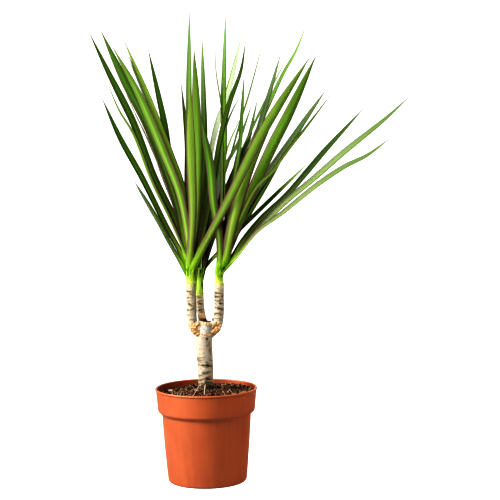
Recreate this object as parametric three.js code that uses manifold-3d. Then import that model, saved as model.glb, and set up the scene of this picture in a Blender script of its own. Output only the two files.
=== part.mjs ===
// A potted dragon tree, dracaena marginata: a thin plastic pot, the peat in it, a sawn cane that has
// grown three branches, and a crown of long narrow leaves on each branch.
// Millimetres, +Z up. The pot stands on z = 0 with its axis at the origin, and -Y is the front.

import * as THREE from "three";
import { mergeVertices } from "three/addons/utils/BufferGeometryUtils.js";
import Module from "manifold-3d";

const wasm = await Module();
wasm.setup();

// ---- Pot ----
const POT_HEIGHT = 110.4;
const POT_SIDES = 44;
const RIM_RADIUS = 60; // outside of the bead round the rim
const BEAD_RADIUS = 1.3;
const BEAD_OVERHANG = 1; // how far the bead stands out past the collar
const WALL = 1.5;
const COLLAR_BOTTOM = 84.5; // the wide collar runs from here up to the bead
const COLLAR_BOTTOM_RADIUS = 57;
const SHOULDER_BOTTOM = 79.5; // the slope under the collar ends here
const BODY_TOP_RADIUS = 52.2;
const BODY_MIDDLE = 50;
const BODY_MIDDLE_RADIUS = 50.3;
const BODY_LOW = 20;
const BODY_LOW_RADIUS = 47.9;
const FOOT_RADIUS = 46.3;
const FOOT_ROUNDING = 3.2;
const FOOT_RING_WIDTH = 5;
const UNDERSIDE_RAISE = 1.6; // the floor is lifted off the ground between the ring and the middle
const CENTRE_PAD_RADIUS = 12;
const FLOOR_TOP = 3.4;
const DRAIN_HOLES = 6;
const DRAIN_HOLE_RADIUS = 4;
const DRAIN_CIRCLE_RADIUS = 26;

// ---- Soil ----
const SOIL_SIDES = 40;
const SOIL_GAP = 0.3; // between the peat and the wall or the cane
const SOIL_EDGE = 103; // its height at the wall, on average
const SOIL_MOUND = 6; // how much higher it is round the cane
const SOIL_TILT = 2.6; // higher on the right and the back, lower on the left
const SOIL_LUMP = 0.9;

// ---- Cane and branches ----
const CANE_FOOT = 62; // how low it is set in the peat
const CANE_CLEAR = 113; // it stands clear of the peat from here up
const CANE_RADIUS = 8.1;
const CANE_SWELL = 0.9; // how much thicker it is at the fork
const STUMP_TOP = 188; // the sawn end between the branches
const CANE_SIDES = 12;
const BRANCH_SIDES = 10;
const RING_SPACING = 5.6; // of the leaf scars that ring the bark
const RING_DEPTH = 0.35;
const BARK_WOBBLE = 0.3;

// ---- Leaves ----
const BLADE_THICKNESS = 0.8;
const BLADE_WIDEST = 0.6; // where along its length a blade is widest
const ROOT_WIDTH = 0.48; // share of the full width at the root
const TIP_WIDTH = 1;
const TIP_TAPER = 2.4; // over 1, the blade keeps its width and narrows late
const ROOT_LOWEST = 4; // how far up its stem a level leaf starts
const ROOT_RISE = 14; // how much further up an upright one does
const UNTWISTED = 0.4; // a blade has turned to its own facing by this share of its length
const BACK_ROW_LENGTH = 0.94; // of a back leaf, to the front leaf that hides it
const BACK_ROW_TURN = 10; // how much further it is turned away, in degrees
const FAN_START = 12; // above the branch's top, where the leaves begin to fan out
const DEPTH_BEND = 1.15; // over 1, a leaf leans to the front or back more and more along its length
const BLADE_STATIONS = [0, 0.1, 0.22, 0.36, 0.5, 0.64, 0.77, 0.88, 0.96, 1];

// The front measurements were taken from here: a leaf's points are where it is seen on the upright
// plane through the pot's axis, and each real point lies on the line of sight through its own.
const VIEWER = new THREE.Vector3(53.4, -1600, 397);
const UP = new THREE.Vector3(0, 0, 1);

const POT_COLOUR = 0xd4602f;
const SOIL_COLOUR = 0x3b2a1e;
const BARK_COLOUR = 0xc9b998;
const LEAF_COLOUR = 0x3f7a1c;

// Each crown grows from the flat top of its branch. A leaf is [x, z] points from low to tip as seen
// from the front; depth is how far its tip lies behind (+) or before (-) its root; width is the
// blade's own; turn is how far it is turned away from the viewer, in degrees. Where back is given, a
// second leaf grows behind the first, with its tip that far back.
const CROWNS = [
  {
    name: "crown_left",
    root: [-16.3, -3, 233],
    radius: 5.3,
    leaves: [
      { seen: [[-28, 258], [-40.5, 280.5], [-53, 305], [-79.5, 353]], depth: 120, width: 10, turn: 55 },
      { seen: [[-27.5, 268.5], [-46, 304], [-71, 356.5], [-95, 402], [-115, 449]], depth: 70, width: 10,
        turn: 42, back: 165 },
      { seen: [[-23, 267.5], [-38.5, 306], [-60, 352.5], [-79, 404.5], [-96.5, 436], [-110, 472]],
        depth: -40, width: 9, turn: 70 },
      { seen: [[-21.5, 268.5], [-34.5, 309], [-57.5, 358.5], [-80, 420.5], [-108.5, 481], [-128, 524]],
        depth: 40, width: 11, turn: 38, back: 125 },
      { seen: [[-21, 270], [-30, 321.5], [-44.5, 368.5], [-64, 420], [-89.5, 470], [-114.5, 525.5]],
        depth: -35, width: 13, turn: 18 },
      { seen: [[-18.5, 282.5], [-27, 334.5], [-46.5, 388], [-64.5, 433], [-79, 465], [-102, 508]],
        depth: -85, width: 11, turn: 32 },
      { seen: [[-25.5, 289.5], [-40.5, 341.5], [-60.5, 393], [-80, 437], [-90, 462]], depth: 95, width: 8,
        turn: 74 },
      { seen: [[-19.5, 289], [-24, 343], [-36.5, 381.5], [-51, 420], [-67.5, 463.5], [-88.5, 515]],
        depth: 0, width: 10, turn: 45, back: 100 },
      { seen: [[-20.5, 295], [-29, 341.5], [-41.5, 381.5], [-54.5, 420], [-68.5, 456], [-84.5, 496]],
        depth: 65, width: 9, turn: 66 },
      { seen: [[-20, 289], [-29.5, 344], [-38.5, 379], [-43.5, 416], [-50, 450.5], [-60.5, 504]], depth: 35,
        width: 10, turn: 38, back: 150 },
      { seen: [[-19, 295], [-19.5, 349], [-18.5, 394], [-21, 436], [-23.5, 466]], depth: 60, width: 9,
        turn: 50 },
      { seen: [[-16.5, 283.5], [-16, 353], [-14.5, 445], [-12.5, 546.5]], depth: 10, width: 9, turn: 36,
        back: 90 },
      { seen: [[-15.5, 257], [-8.5, 302], [-5.5, 353], [-5.5, 413], [-8, 504]], depth: -25, width: 11.5,
        turn: 20 },
      { seen: [[-17, 257], [-12.5, 312.5], [-13, 368.5], [-13.5, 413], [-13, 459]], depth: -105, width: 11,
        turn: 12 },
      { seen: [[-12.5, 256.5], [-6.5, 295.5], [-0.5, 349], [3, 399], [2.5, 445], [1.5, 517.5]], depth: 25,
        width: 9, turn: 38 },
      { seen: [[-3.5, 269.5], [30, 330], [63, 394.5], [86.5, 433.5], [103, 459], [124.5, 491.5]],
        depth: -110, width: 12, turn: 22 },
      { seen: [[-9, 262.5], [0.5, 293], [11, 341], [19.5, 392], [32, 440], [45.5, 476.5], [51.5, 512]],
        depth: -12, width: 9, turn: 45 },
    ],
  },
  {
    name: "crown_middle",
    root: [-6.5, 13, 218.5],
    radius: 5,
    leaves: [
      { seen: [[-3, 283], [3.5, 335.5], [9.5, 379.5], [18, 418], [31.5, 453.5], [48, 524]], depth: 75,
        width: 10, turn: 50 },
      { seen: [[1.5, 285.5], [15, 329.5], [31, 374.5], [44, 417.5], [57, 458], [72.5, 515]], depth: 60,
        width: 7, turn: 70 },
      { seen: [[-2, 270], [8, 315], [22, 360], [42, 396], [59, 443]], depth: 125, width: 8, turn: 55 },
      { seen: [[2, 275], [17, 320], [36, 360], [52, 395], [65, 448]], depth: 100, width: 8, turn: 45 },
      { seen: [[-2, 283], [6, 347], [12, 387.5], [21, 424], [31, 463], [39.5, 495]], depth: 120, width: 7,
        turn: 60 },
      { seen: [[3, 270], [22, 315], [45.5, 360], [64, 405], [78, 450], [92, 498]], depth: 50, width: 10,
        turn: 40, back: 150 },
      { seen: [[5, 275], [30, 335], [60, 400], [91, 467], [109.5, 500], [122.5, 532]], depth: 85,
        width: 9.5, turn: 56 },
      { seen: [[2, 280], [25, 340], [55, 405], [82, 460], [100, 494]], depth: 115, width: 7, turn: 62 },
      { seen: [[0, 249], [16.5, 268], [45.5, 298], [77, 328], [121.5, 370.5]], depth: 70, width: 8,
        turn: 50, back: 150 },
      { seen: [[-1, 289], [11.5, 335.5], [22.5, 366.5], [32.5, 398], [48.5, 431.5]], depth: 150, width: 7,
        turn: 66 },
      { seen: [[0, 289], [13, 352.5], [25, 404.5], [34.5, 430.5], [47.5, 454.5]], depth: 105, width: 7,
        turn: 60 },
      { seen: [[-12, 270], [-24, 330], [-42, 390], [-64, 445]], depth: 140, width: 9, turn: 45 },
      { seen: [[-9, 270], [-11, 330], [-10, 400], [-10, 470]], depth: 110, width: 9, turn: 45 },
      { seen: [[-14, 262], [-31, 312], [-52, 362], [-72, 410]], depth: 160, width: 9, turn: 40 },
    ],
  },
  {
    name: "crown_right",
    root: [17, 0, 232.5],
    radius: 5.2,
    leaves: [
      { seen: [[18, 263], [17.5, 287.5], [11.5, 327.5], [8.5, 368], [-1, 424.5]], depth: -62, width: 11,
        turn: 22 },
      { seen: [[26, 262], [33.5, 288.5], [42.5, 320.5], [51, 350], [64, 386], [85.5, 432.5]], depth: -60,
        width: 11, turn: 28 },
      { seen: [[38, 262.5], [62, 291.5], [92.5, 313.5], [130.5, 343.5], [163, 365], [191, 379],
        [218.5, 399.5]], depth: -105, width: 11, turn: 58 },
      { seen: [[36.5, 262.5], [63.5, 294.5], [97, 326.5], [129, 352.5], [166, 384], [210, 419],
        [241, 447.5]], depth: -45, width: 12, turn: 54 },
      { seen: [[31, 258.5], [46, 282], [68, 307.5], [96.5, 333], [121.5, 361], [144, 387], [187, 433.5]],
        depth: 25, width: 11, turn: 50, back: 110 },
      { seen: [[33, 287.5], [59, 339.5], [81, 361.5], [101, 388], [120.5, 412], [151, 452]], depth: -35,
        width: 10, turn: 68 },
      { seen: [[32, 284], [58, 333], [80.5, 366], [102, 395.5], [122.5, 425.5], [143.5, 455]], depth: 15,
        width: 11, turn: 40, back: 95 },
      { seen: [[33, 282.5], [48.5, 320.5], [66, 359], [82.5, 393.5], [102.5, 432], [132, 493.5]],
        depth: -30, width: 13.5, turn: 18 },
      { seen: [[30, 275], [55, 316], [72, 344], [100, 392]], depth: 60, width: 9, turn: 42 },
      { seen: [[20, 290], [23.5, 344.5], [25, 396.5], [25.5, 443.5], [29, 543.5]], depth: 20, width: 9.5,
        turn: 45 },
      { seen: [[24, 290], [34, 345], [43.5, 391.5], [46.5, 430.5], [49.5, 477]], depth: 28, width: 9,
        turn: 55 },
      { seen: [[20, 290], [24, 352.5], [23.5, 425], [17, 476], [17, 512]], depth: 36, width: 7, turn: 72 },
      { seen: [[24, 262], [37, 300], [52, 335]], depth: 130, width: 9, turn: 45 },
      { seen: [[20, 262], [26, 300], [33, 340], [38, 380]], depth: 100, width: 9, turn: 45 },
    ],
  },
];

// ---- Shared geometry ----

function seededRandom(seed) {
  let state = seed;
  return () => {
    state = (state + 0x6d2b79f5) | 0;
    let mixed = Math.imul(state ^ (state >>> 15), 1 | state);
    mixed = (mixed + Math.imul(mixed ^ (mixed >>> 7), 61 | mixed)) ^ mixed;
    return ((mixed ^ (mixed >>> 14)) >>> 0) / 4294967296;
  };
}

function toSolid(geometry) {
  const bare = geometry.clone();
  bare.deleteAttribute("normal");
  bare.deleteAttribute("uv");
  const merged = mergeVertices(bare);
  const mesh = new wasm.Mesh({
    numProp: 3,
    vertProperties: merged.attributes.position.array,
    triVerts: new Uint32Array(merged.index.array),
  });
  return new wasm.Manifold(mesh);
}

function toGeometry(solid) {
  const mesh = solid.getMesh();
  const geometry = new THREE.BufferGeometry();
  geometry.setAttribute("position", new THREE.BufferAttribute(mesh.vertProperties, 3));
  geometry.setIndex(new THREE.BufferAttribute(mesh.triVerts, 1));
  geometry.computeVertexNormals();
  return geometry;
}

function joined(solids) {
  return solids.reduce((whole, solid) => whole.add(solid));
}

// A closed skin over rings of equally many points, seen anticlockwise from the far end. Quads whose
// place in the ring is in crossed are split along the other diagonal.
function loft(rings, crossed = []) {
  const count = rings[0].length;
  const positions = rings.flat().flatMap((point) => point.toArray());
  const indices = [];
  for (let ring = 0; ring < rings.length - 1; ring++) {
    for (let place = 0; place < count; place++) {
      const next = (place + 1) % count;
      const low = ring * count + place;
      const lowNext = ring * count + next;
      const high = low + count;
      const highNext = lowNext + count;
      if (crossed.includes(place)) {
        indices.push(low, lowNext, high, lowNext, highNext, high);
      } else {
        indices.push(low, lowNext, highNext, low, highNext, high);
      }
    }
  }
  const last = (rings.length - 1) * count;
  for (let place = 1; place < count - 1; place++) {
    indices.push(0, place + 1, place);
    indices.push(last, last + place, last + place + 1);
  }
  const geometry = new THREE.BufferGeometry();
  geometry.setAttribute("position", new THREE.Float32BufferAttribute(positions, 3));
  geometry.setIndex(indices);
  return geometry;
}

// The real point at depth y that is seen at x, z.
function alongSight(x, z, y) {
  const seen = new THREE.Vector3(x, 0, z);
  return seen.clone().add(seen.sub(VIEWER).multiplyScalar(y / -VIEWER.y));
}

function smoothStep(value) {
  const share = THREE.MathUtils.clamp(value, 0, 1);
  return share * share * (3 - 2 * share);
}

// ---- Pot ----

function potProfile() {
  const beadCentre = RIM_RADIUS - BEAD_RADIUS;
  const beadHeight = POT_HEIGHT - BEAD_RADIUS;
  const bead = [-60, -20, 30, 80, 130].map((degrees) => {
    const angle = THREE.MathUtils.degToRad(degrees);
    return [beadCentre + BEAD_RADIUS * Math.cos(angle), beadHeight + BEAD_RADIUS * Math.sin(angle)];
  });
  const foot = [0, 45, 90].map((degrees) => {
    const angle = THREE.MathUtils.degToRad(degrees);
    const centre = FOOT_RADIUS - FOOT_ROUNDING;
    return [centre + FOOT_ROUNDING * Math.sin(angle), FOOT_ROUNDING * (1 - Math.cos(angle))];
  });
  const ringInside = FOOT_RADIUS - FOOT_ROUNDING - FOOT_RING_WIDTH;
  const collarTopRadius = RIM_RADIUS - BEAD_OVERHANG;
  return [
    [0, 0],
    [CENTRE_PAD_RADIUS, 0],
    [CENTRE_PAD_RADIUS + 1, UNDERSIDE_RAISE],
    [ringInside - 1, UNDERSIDE_RAISE],
    [ringInside, 0],
    ...foot,
    [BODY_LOW_RADIUS, BODY_LOW],
    [BODY_MIDDLE_RADIUS, BODY_MIDDLE],
    [BODY_TOP_RADIUS, SHOULDER_BOTTOM],
    [COLLAR_BOTTOM_RADIUS - 0.6, COLLAR_BOTTOM - 1],
    [COLLAR_BOTTOM_RADIUS, COLLAR_BOTTOM],
    [collarTopRadius, POT_HEIGHT - 2 * BEAD_RADIUS],
    ...bead,
    [collarTopRadius - WALL, POT_HEIGHT - 2 * BEAD_RADIUS],
    [COLLAR_BOTTOM_RADIUS - WALL, COLLAR_BOTTOM + 0.4],
    [BODY_TOP_RADIUS - WALL, SHOULDER_BOTTOM + 0.4],
    [BODY_MIDDLE_RADIUS - WALL, BODY_MIDDLE],
    [BODY_LOW_RADIUS - WALL, BODY_LOW],
    [FOOT_RADIUS - WALL, FLOOR_TOP + 1],
    [FOOT_RADIUS - WALL - 1, FLOOR_TOP],
    [0, FLOOR_TOP],
  ];
}

// LatheGeometry turns a profile about Y, and the pot stands along Z.
function turned(profile, sides) {
  const points = profile.map(([radius, height]) => new THREE.Vector2(radius, height));
  return new THREE.LatheGeometry(points, sides).rotateX(Math.PI / 2);
}

function potGeometry() {
  let pot = toSolid(turned(potProfile(), POT_SIDES));
  for (let hole = 0; hole < DRAIN_HOLES; hole++) {
    const angle = ((hole + 0.5) / DRAIN_HOLES) * 2 * Math.PI;
    const drill = new THREE.CylinderGeometry(DRAIN_HOLE_RADIUS, DRAIN_HOLE_RADIUS, 4 * FLOOR_TOP, 12);
    drill.rotateX(Math.PI / 2);
    drill.translate(DRAIN_CIRCLE_RADIUS * Math.cos(angle), DRAIN_CIRCLE_RADIUS * Math.sin(angle), 0);
    pot = pot.subtract(toSolid(drill));
  }
  return toGeometry(pot);
}

// ---- Soil ----

function soilHeight(radius, angle) {
  const reach = BODY_TOP_RADIUS;
  const mound = SOIL_MOUND * Math.exp(-((radius / 26) ** 2));
  const tilt = (SOIL_TILT * radius * Math.cos(angle - 0.5)) / reach;
  const lumps = Math.sin(0.31 * radius + 3 * angle) * Math.cos(0.17 * radius - 2 * angle + 1.3);
  const grain = Math.sin(0.73 * radius + 7 * angle + 0.6);
  return SOIL_EDGE + mound + tilt + SOIL_LUMP * (lumps + 0.5 * grain);
}

// One skin turned about the axis: out over the bottom, up the wall, in over the lumpy top, and down
// the hole that the cane stands in.
function soilGeometry() {
  const wallRadius = (radius) => radius - WALL - SOIL_GAP;
  const edge = wallRadius(COLLAR_BOTTOM_RADIUS);
  const holeRadius = CANE_RADIUS + SOIL_GAP;
  const skin = [
    { radius: wallRadius(FOOT_RADIUS) - 1.5, height: FLOOR_TOP },
    { radius: wallRadius(FOOT_RADIUS), height: FLOOR_TOP + 2 },
    { radius: wallRadius(BODY_LOW_RADIUS), height: BODY_LOW },
    { radius: wallRadius(BODY_MIDDLE_RADIUS), height: BODY_MIDDLE },
    { radius: wallRadius(BODY_TOP_RADIUS), height: SHOULDER_BOTTOM + 0.8 },
    { radius: edge, height: COLLAR_BOTTOM + 1 },
    ...[edge, 50, 43, 36, 29, 22, 15, holeRadius].map((radius) => ({ radius, top: true })),
    { radius: holeRadius, height: CANE_FOOT },
  ];
  const rings = skin.map(({ radius, height, top }) =>
    Array.from({ length: SOIL_SIDES }, (_, place) => {
      const angle = (place / SOIL_SIDES) * 2 * Math.PI;
      const z = top ? soilHeight(radius, angle) : height;
      return new THREE.Vector3(radius * Math.cos(angle), radius * Math.sin(angle), z);
    }),
  );
  return loft(rings);
}

// ---- Trunk ----

// A round stem along a path, ringed by leaf scars, with level ends. radiusAt takes the share of the
// length.
function stem(path, radiusAt, sides, random) {
  const curve = new THREE.CatmullRomCurve3(path.map((point) => new THREE.Vector3(...point)));
  const steps = Math.round(curve.getLength() / (RING_SPACING / 2));
  const rings = [];
  for (let step = 0; step <= steps; step++) {
    const share = step / steps;
    const centre = curve.getPointAt(share);
    const atEnd = step === 0 || step === steps;
    const along = atEnd ? UP : curve.getTangentAt(share);
    const across = new THREE.Vector3().crossVectors(new THREE.Vector3(0, 1, 0), along).normalize();
    const other = new THREE.Vector3().crossVectors(along, across);
    const scar = step % 2 === 0 ? RING_DEPTH / 2 : -RING_DEPTH / 2;
    rings.push(
      Array.from({ length: sides }, (_, place) => {
        const angle = (place / sides) * 2 * Math.PI;
        const radius = radiusAt(share) + scar + BARK_WOBBLE * (random() - 0.5);
        return centre
          .clone()
          .addScaledVector(across, radius * Math.cos(angle))
          .addScaledVector(other, radius * Math.sin(angle));
      }),
    );
  }
  return toSolid(loft(rings));
}

// A knob of healed wood.
function knob([x, y, z], [wide, deep, tall], random) {
  const ball = new THREE.IcosahedronGeometry(1, 1);
  ball.deleteAttribute("normal");
  ball.deleteAttribute("uv");
  const merged = mergeVertices(ball);
  const position = merged.attributes.position;
  for (let corner = 0; corner < position.count; corner++) {
    const swell = 1 + 0.16 * (random() - 0.5);
    position.setXYZ(
      corner,
      x + position.getX(corner) * wide * swell,
      y + position.getY(corner) * deep * swell,
      z + position.getZ(corner) * tall * swell,
    );
  }
  return toSolid(merged);
}

function trunkGeometry() {
  const random = seededRandom(11);
  const buried = [[0, CANE_FOOT], [CANE_RADIUS, CANE_FOOT], [CANE_RADIUS, CANE_CLEAR], [0, CANE_CLEAR]];
  const cane = [
    [0, 0, CANE_CLEAR - 1],
    [-0.3, 0, 135],
    [-0.8, 0, 150],
    [-1.3, 0, 164],
    [0, 0, 176],
    [1.6, 0, STUMP_TOP],
  ];
  const caneRadius = (share) => CANE_RADIUS + CANE_SWELL * smoothStep(1.6 * share);
  const branches = [
    { radius: 5.2, path: [[-3, -1, 172], [-11, -3, 176.5], [-14.4, -3.4, 184], [-15.3, -3.2, 194],
      [-15.6, -3, 206], [-16, -3, 220], [-16.3, -3, 233]] },
    { radius: 4.9, path: [[-1, 4, 176], [-2, 8, 184], [-4.5, 12, 193], [-6, 13, 204], [-6.5, 13, 218.5]] },
    { radius: 5.1, path: [[3, 0, 171], [10, 0, 175.5], [14.2, 0, 182], [15.9, 0, 191], [16.8, 0, 201],
      [16.8, 0, 216], [17, 0, 232.5]] },
  ];
  const knobs = [
    [[-12.8, -4, 183], [5.4, 5.6, 4.6]],
    [[-9, -5.5, 186], [4, 3.6, 3]],
    [[-12.5, -4.5, 177.5], [4.4, 4.6, 3.8]],
    [[-8.8, -5.6, 173.6], [2.6, 3, 2.8]],
    [[-5.5, -5, 180], [3, 3.6, 6]],
    [[10.2, -4, 184.5], [3.6, 4.4, 3.6]],
    [[13.4, -2.4, 180], [4.6, 4.6, 4.6]],
    [[10.2, -3.6, 175], [3.4, 4, 3.2]],
    [[1, -6.6, 173], [2.8, 2.4, 3]],
    [[-3.6, 8, 193], [4.2, 4.6, 3.4]],
    [[10.6, 2, 189.5], [1.1, 1.1, 2]],
    [[-9, 4, 181], [5, 5, 5]],
    [[9, 2.5, 180.5], [5, 5.4, 5.4]],
  ];
  const solids = [toSolid(turned(buried, CANE_SIDES)), stem(cane, caneRadius, CANE_SIDES, random)];
  for (const { path, radius } of branches) {
    solids.push(stem(path, () => radius, BRANCH_SIDES, random));
  }
  for (const [centre, size] of knobs) {
    solids.push(knob(centre, size, random));
  }
  return toGeometry(joined(solids));
}

// ---- Crowns ----

function bladeWidth(share) {
  if (share < BLADE_WIDEST) {
    return ROOT_WIDTH + (1 - ROOT_WIDTH) * smoothStep(share / BLADE_WIDEST);
  }
  return 1 - ((share - BLADE_WIDEST) / (1 - BLADE_WIDEST)) ** TIP_TAPER;
}

// The part of a vector that is square to a blade's own line.
function squareTo(tangent, vector) {
  return vector.clone().addScaledVector(tangent, -vector.dot(tangent)).normalize();
}

// The turn about the blade's own line that takes its natural facing, upper side inwards, to the
// facing it is seen with.
function bladeTwist(tangent, point, inwards, turn) {
  const natural = squareTo(tangent, inwards);
  const sight = squareTo(tangent, VIEWER.clone().sub(point));
  if (sight.dot(natural) < 0) {
    sight.negate();
  }
  const side = new THREE.Vector3().crossVectors(tangent, natural);
  const whole = Math.atan2(sight.dot(side), sight.dot(natural));
  return whole - Math.sign(whole) * THREE.MathUtils.degToRad(turn);
}

function blade(points, width, turn) {
  const curve = new THREE.CatmullRomCurve3(points, false, "catmullrom", 0.5);
  const inwards = points[0].clone().sub(points[points.length - 1]).setZ(0);
  const twist = bladeTwist(curve.getTangentAt(BLADE_WIDEST), curve.getPointAt(BLADE_WIDEST), inwards, turn);
  const rings = BLADE_STATIONS.map((share) => {
    const centre = curve.getPointAt(share);
    const tangent = curve.getTangentAt(share);
    const normal = squareTo(tangent, inwards);
    normal.applyAxisAngle(tangent, twist * smoothStep(share / UNTWISTED));
    const side = new THREE.Vector3().crossVectors(normal, tangent);
    const half = Math.max(width * bladeWidth(share), TIP_WIDTH) / 2;
    const corner = (sideways, raised) =>
      centre
        .clone()
        .addScaledVector(side, sideways * half)
        .addScaledVector(normal, (raised * BLADE_THICKNESS) / 2);
    return [corner(1, 1), corner(-1, 1), corner(-1, -1), corner(1, -1)];
  });
  return toSolid(loft(rings, [2]));
}

// The points of one leaf in space: its depth grows along it, and it starts in the stem, higher and
// further in the more upright it is.
function leafPoints(root, radius, seen, depth, length) {
  const start = new THREE.Vector2(root.x, root.z + FAN_START);
  const shrunk = seen.map(([x, z]) => new THREE.Vector2(x, z).sub(start).multiplyScalar(length).add(start));
  const reach = shrunk.map((point, place) => point.distanceTo(place ? shrunk[place - 1] : start));
  const whole = reach.reduce((sum, step) => sum + step, 0);
  let travelled = 0;
  const points = shrunk.map((point, place) => {
    travelled += reach[place];
    return alongSight(point.x, point.y, root.y + depth * (travelled / whole) ** DEPTH_BEND);
  });
  const lean = points[1].clone().sub(root).normalize();
  const low = root.clone().addScaledVector(lean.clone().setZ(0), radius);
  low.z += ROOT_LOWEST + ROOT_RISE * lean.z ** 4;
  return [low, ...points];
}

// The green stem tip, wrapped in the sheaths of its leaves, flares and closes again.
function sheathProfile(radius) {
  return [[0, 0], [radius, 0], [radius + 0.3, 6], [radius + 2, 13], [radius + 1.6, 20], [0, 26]];
}

function crownGeometry({ root, radius, leaves }) {
  const foot = new THREE.Vector3(...root);
  const core = turned(sheathProfile(radius), BRANCH_SIDES).translate(...root);
  const solids = [toSolid(core)];
  for (const { seen, depth, width, turn, back } of leaves) {
    solids.push(blade(leafPoints(foot, radius, seen, depth, 1), width, turn));
    if (back) {
      const behind = leafPoints(foot, radius, seen, back, BACK_ROW_LENGTH);
      solids.push(blade(behind, width, turn + BACK_ROW_TURN));
    }
  }
  return toGeometry(joined(solids));
}

// ---- Assembly ----

function piece(name, geometry, color, roughness) {
  const material = new THREE.MeshStandardMaterial({ color, roughness, metalness: 0, flatShading: true });
  const mesh = new THREE.Mesh(geometry, material);
  mesh.name = name;
  return mesh;
}

const plant = new THREE.Group();
plant.add(piece("pot", potGeometry(), POT_COLOUR, 0.45));
plant.add(piece("soil", soilGeometry(), SOIL_COLOUR, 1));
plant.add(piece("trunk", trunkGeometry(), BARK_COLOUR, 0.85));
for (const crown of CROWNS) {
  plant.add(piece(crown.name, crownGeometry(crown), LEAF_COLOUR, 0.5));
}

export default plant;
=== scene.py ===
"""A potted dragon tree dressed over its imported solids.

A thin plastic pot, the peat in it, a sawn cane with three ringed branches, and a crown of long narrow
leaves on each. Sizes are in millimetres and turned into metres where a mesh is made. -Y is the front.
"""

import math

import bpy
import numpy as np
from mathutils import Matrix, Vector, noise


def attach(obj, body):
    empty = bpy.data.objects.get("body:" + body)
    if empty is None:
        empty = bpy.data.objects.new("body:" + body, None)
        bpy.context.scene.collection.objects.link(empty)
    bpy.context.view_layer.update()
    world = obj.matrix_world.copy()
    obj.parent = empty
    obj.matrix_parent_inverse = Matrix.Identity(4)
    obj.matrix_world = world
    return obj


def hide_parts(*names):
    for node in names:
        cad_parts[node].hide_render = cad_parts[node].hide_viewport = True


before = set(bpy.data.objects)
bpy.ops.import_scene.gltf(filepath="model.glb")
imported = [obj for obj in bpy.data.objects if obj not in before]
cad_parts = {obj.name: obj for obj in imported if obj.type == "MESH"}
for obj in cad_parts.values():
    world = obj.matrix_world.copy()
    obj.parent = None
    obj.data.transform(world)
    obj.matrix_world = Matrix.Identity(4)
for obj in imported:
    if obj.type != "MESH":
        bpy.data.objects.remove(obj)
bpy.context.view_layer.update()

MM = 0.001

# ---- Camera ----
EYE = (53.4, -1600.0, 397.0)
PITCH = math.radians(4.51)  # downwards
ROLL = math.radians(-0.75)
FOCAL_PIXELS = 1381
IMAGE_PIXELS = 500
SENSOR_WIDTH = 36

# ---- Pot ----
POT_HEIGHT = 110.4
RIM_RADIUS = 60
BEAD_RADIUS = 1.3
BEAD_OVERHANG = 1
WALL = 1.5
COLLAR_BOTTOM = 84.5
COLLAR_BOTTOM_RADIUS = 57
SHOULDER_BOTTOM = 79.5
BODY_TOP_RADIUS = 52.2
BODY_MIDDLE = 50
BODY_MIDDLE_RADIUS = 50.3
BODY_LOW = 20
BODY_LOW_RADIUS = 47.9
FOOT_RADIUS = 46.3
FOOT_ROUNDING = 3.2
FOOT_RING_WIDTH = 5
UNDERSIDE_RAISE = 1.6
CENTRE_PAD_RADIUS = 12
FLOOR_TOP = 3.4
DRAIN_HOLES = 6
DRAIN_HOLE_RADIUS = 4
DRAIN_CIRCLE_RADIUS = 26
POT_SIDES = 192

# ---- Soil ----
SOIL_GAP = 0.3
SOIL_EDGE = 103
SOIL_MOUND = 6
MOUND_SPREAD = 26
SOIL_TILT = 2.6
SOIL_LUMP = 0.9
SOIL_ROUGH = 1.1
SOIL_SIDES = 150
SOIL_RINGS = 44
SCATTER_FROM = 90  # nothing is scattered on the plug below this height
THIN_ROOT_RADIUS = 0.5
THIN_ROOT_TONE = 1.3
CHIP_LIFT = 1.1
CHIP_TONE = 0.93

# ---- Cane and branches ----
CANE_FOOT = 62
CANE_CLEAR = 113
CANE_RADIUS = 8.1
CANE_BARK = 0.75  # how far the bark stands out from the buried part
CANE_SWELL = 0.9
STUMP_TOP = 188
SKIN_VOXEL = 0.5
PEAT_STAIN_TOP = 118.5
PLAIN_STRETCH = (143, 174)  # where the cane has fewer smears and scars
HEALED_FROM = 169.5
YOUNG_LENGTH = 9  # how much of each branch's top is young wood

CANE_PATH = [
    (-0.3, 0, CANE_CLEAR - 1), (-0.6, 0, 135), (-1.3, 0, 150), (-1.9, 0, 164), (-0.4, 0, 176),
    (1.4, 0, STUMP_TOP),
]
LEFT_PATH = [
    (-3, -1, 173), (-10.6, -3, 178), (-14.2, -3.4, 185), (-15.3, -3.2, 194), (-15.6, -3, 206),
    (-16, -3, 220), (-16.3, -3, 233),
]
MIDDLE_PATH = [(-1, 4, 176), (-2, 8, 184), (-4.5, 12, 193), (-6, 13, 204), (-6.5, 13, 218.5)]
RIGHT_PATH = [
    (3, 0, 172), (9.6, 0, 177), (14, 0, 183), (15.7, 0, 191), (16.5, 0, 201), (16.6, 0, 216),
    (17, 0, 232.5),
]
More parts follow.
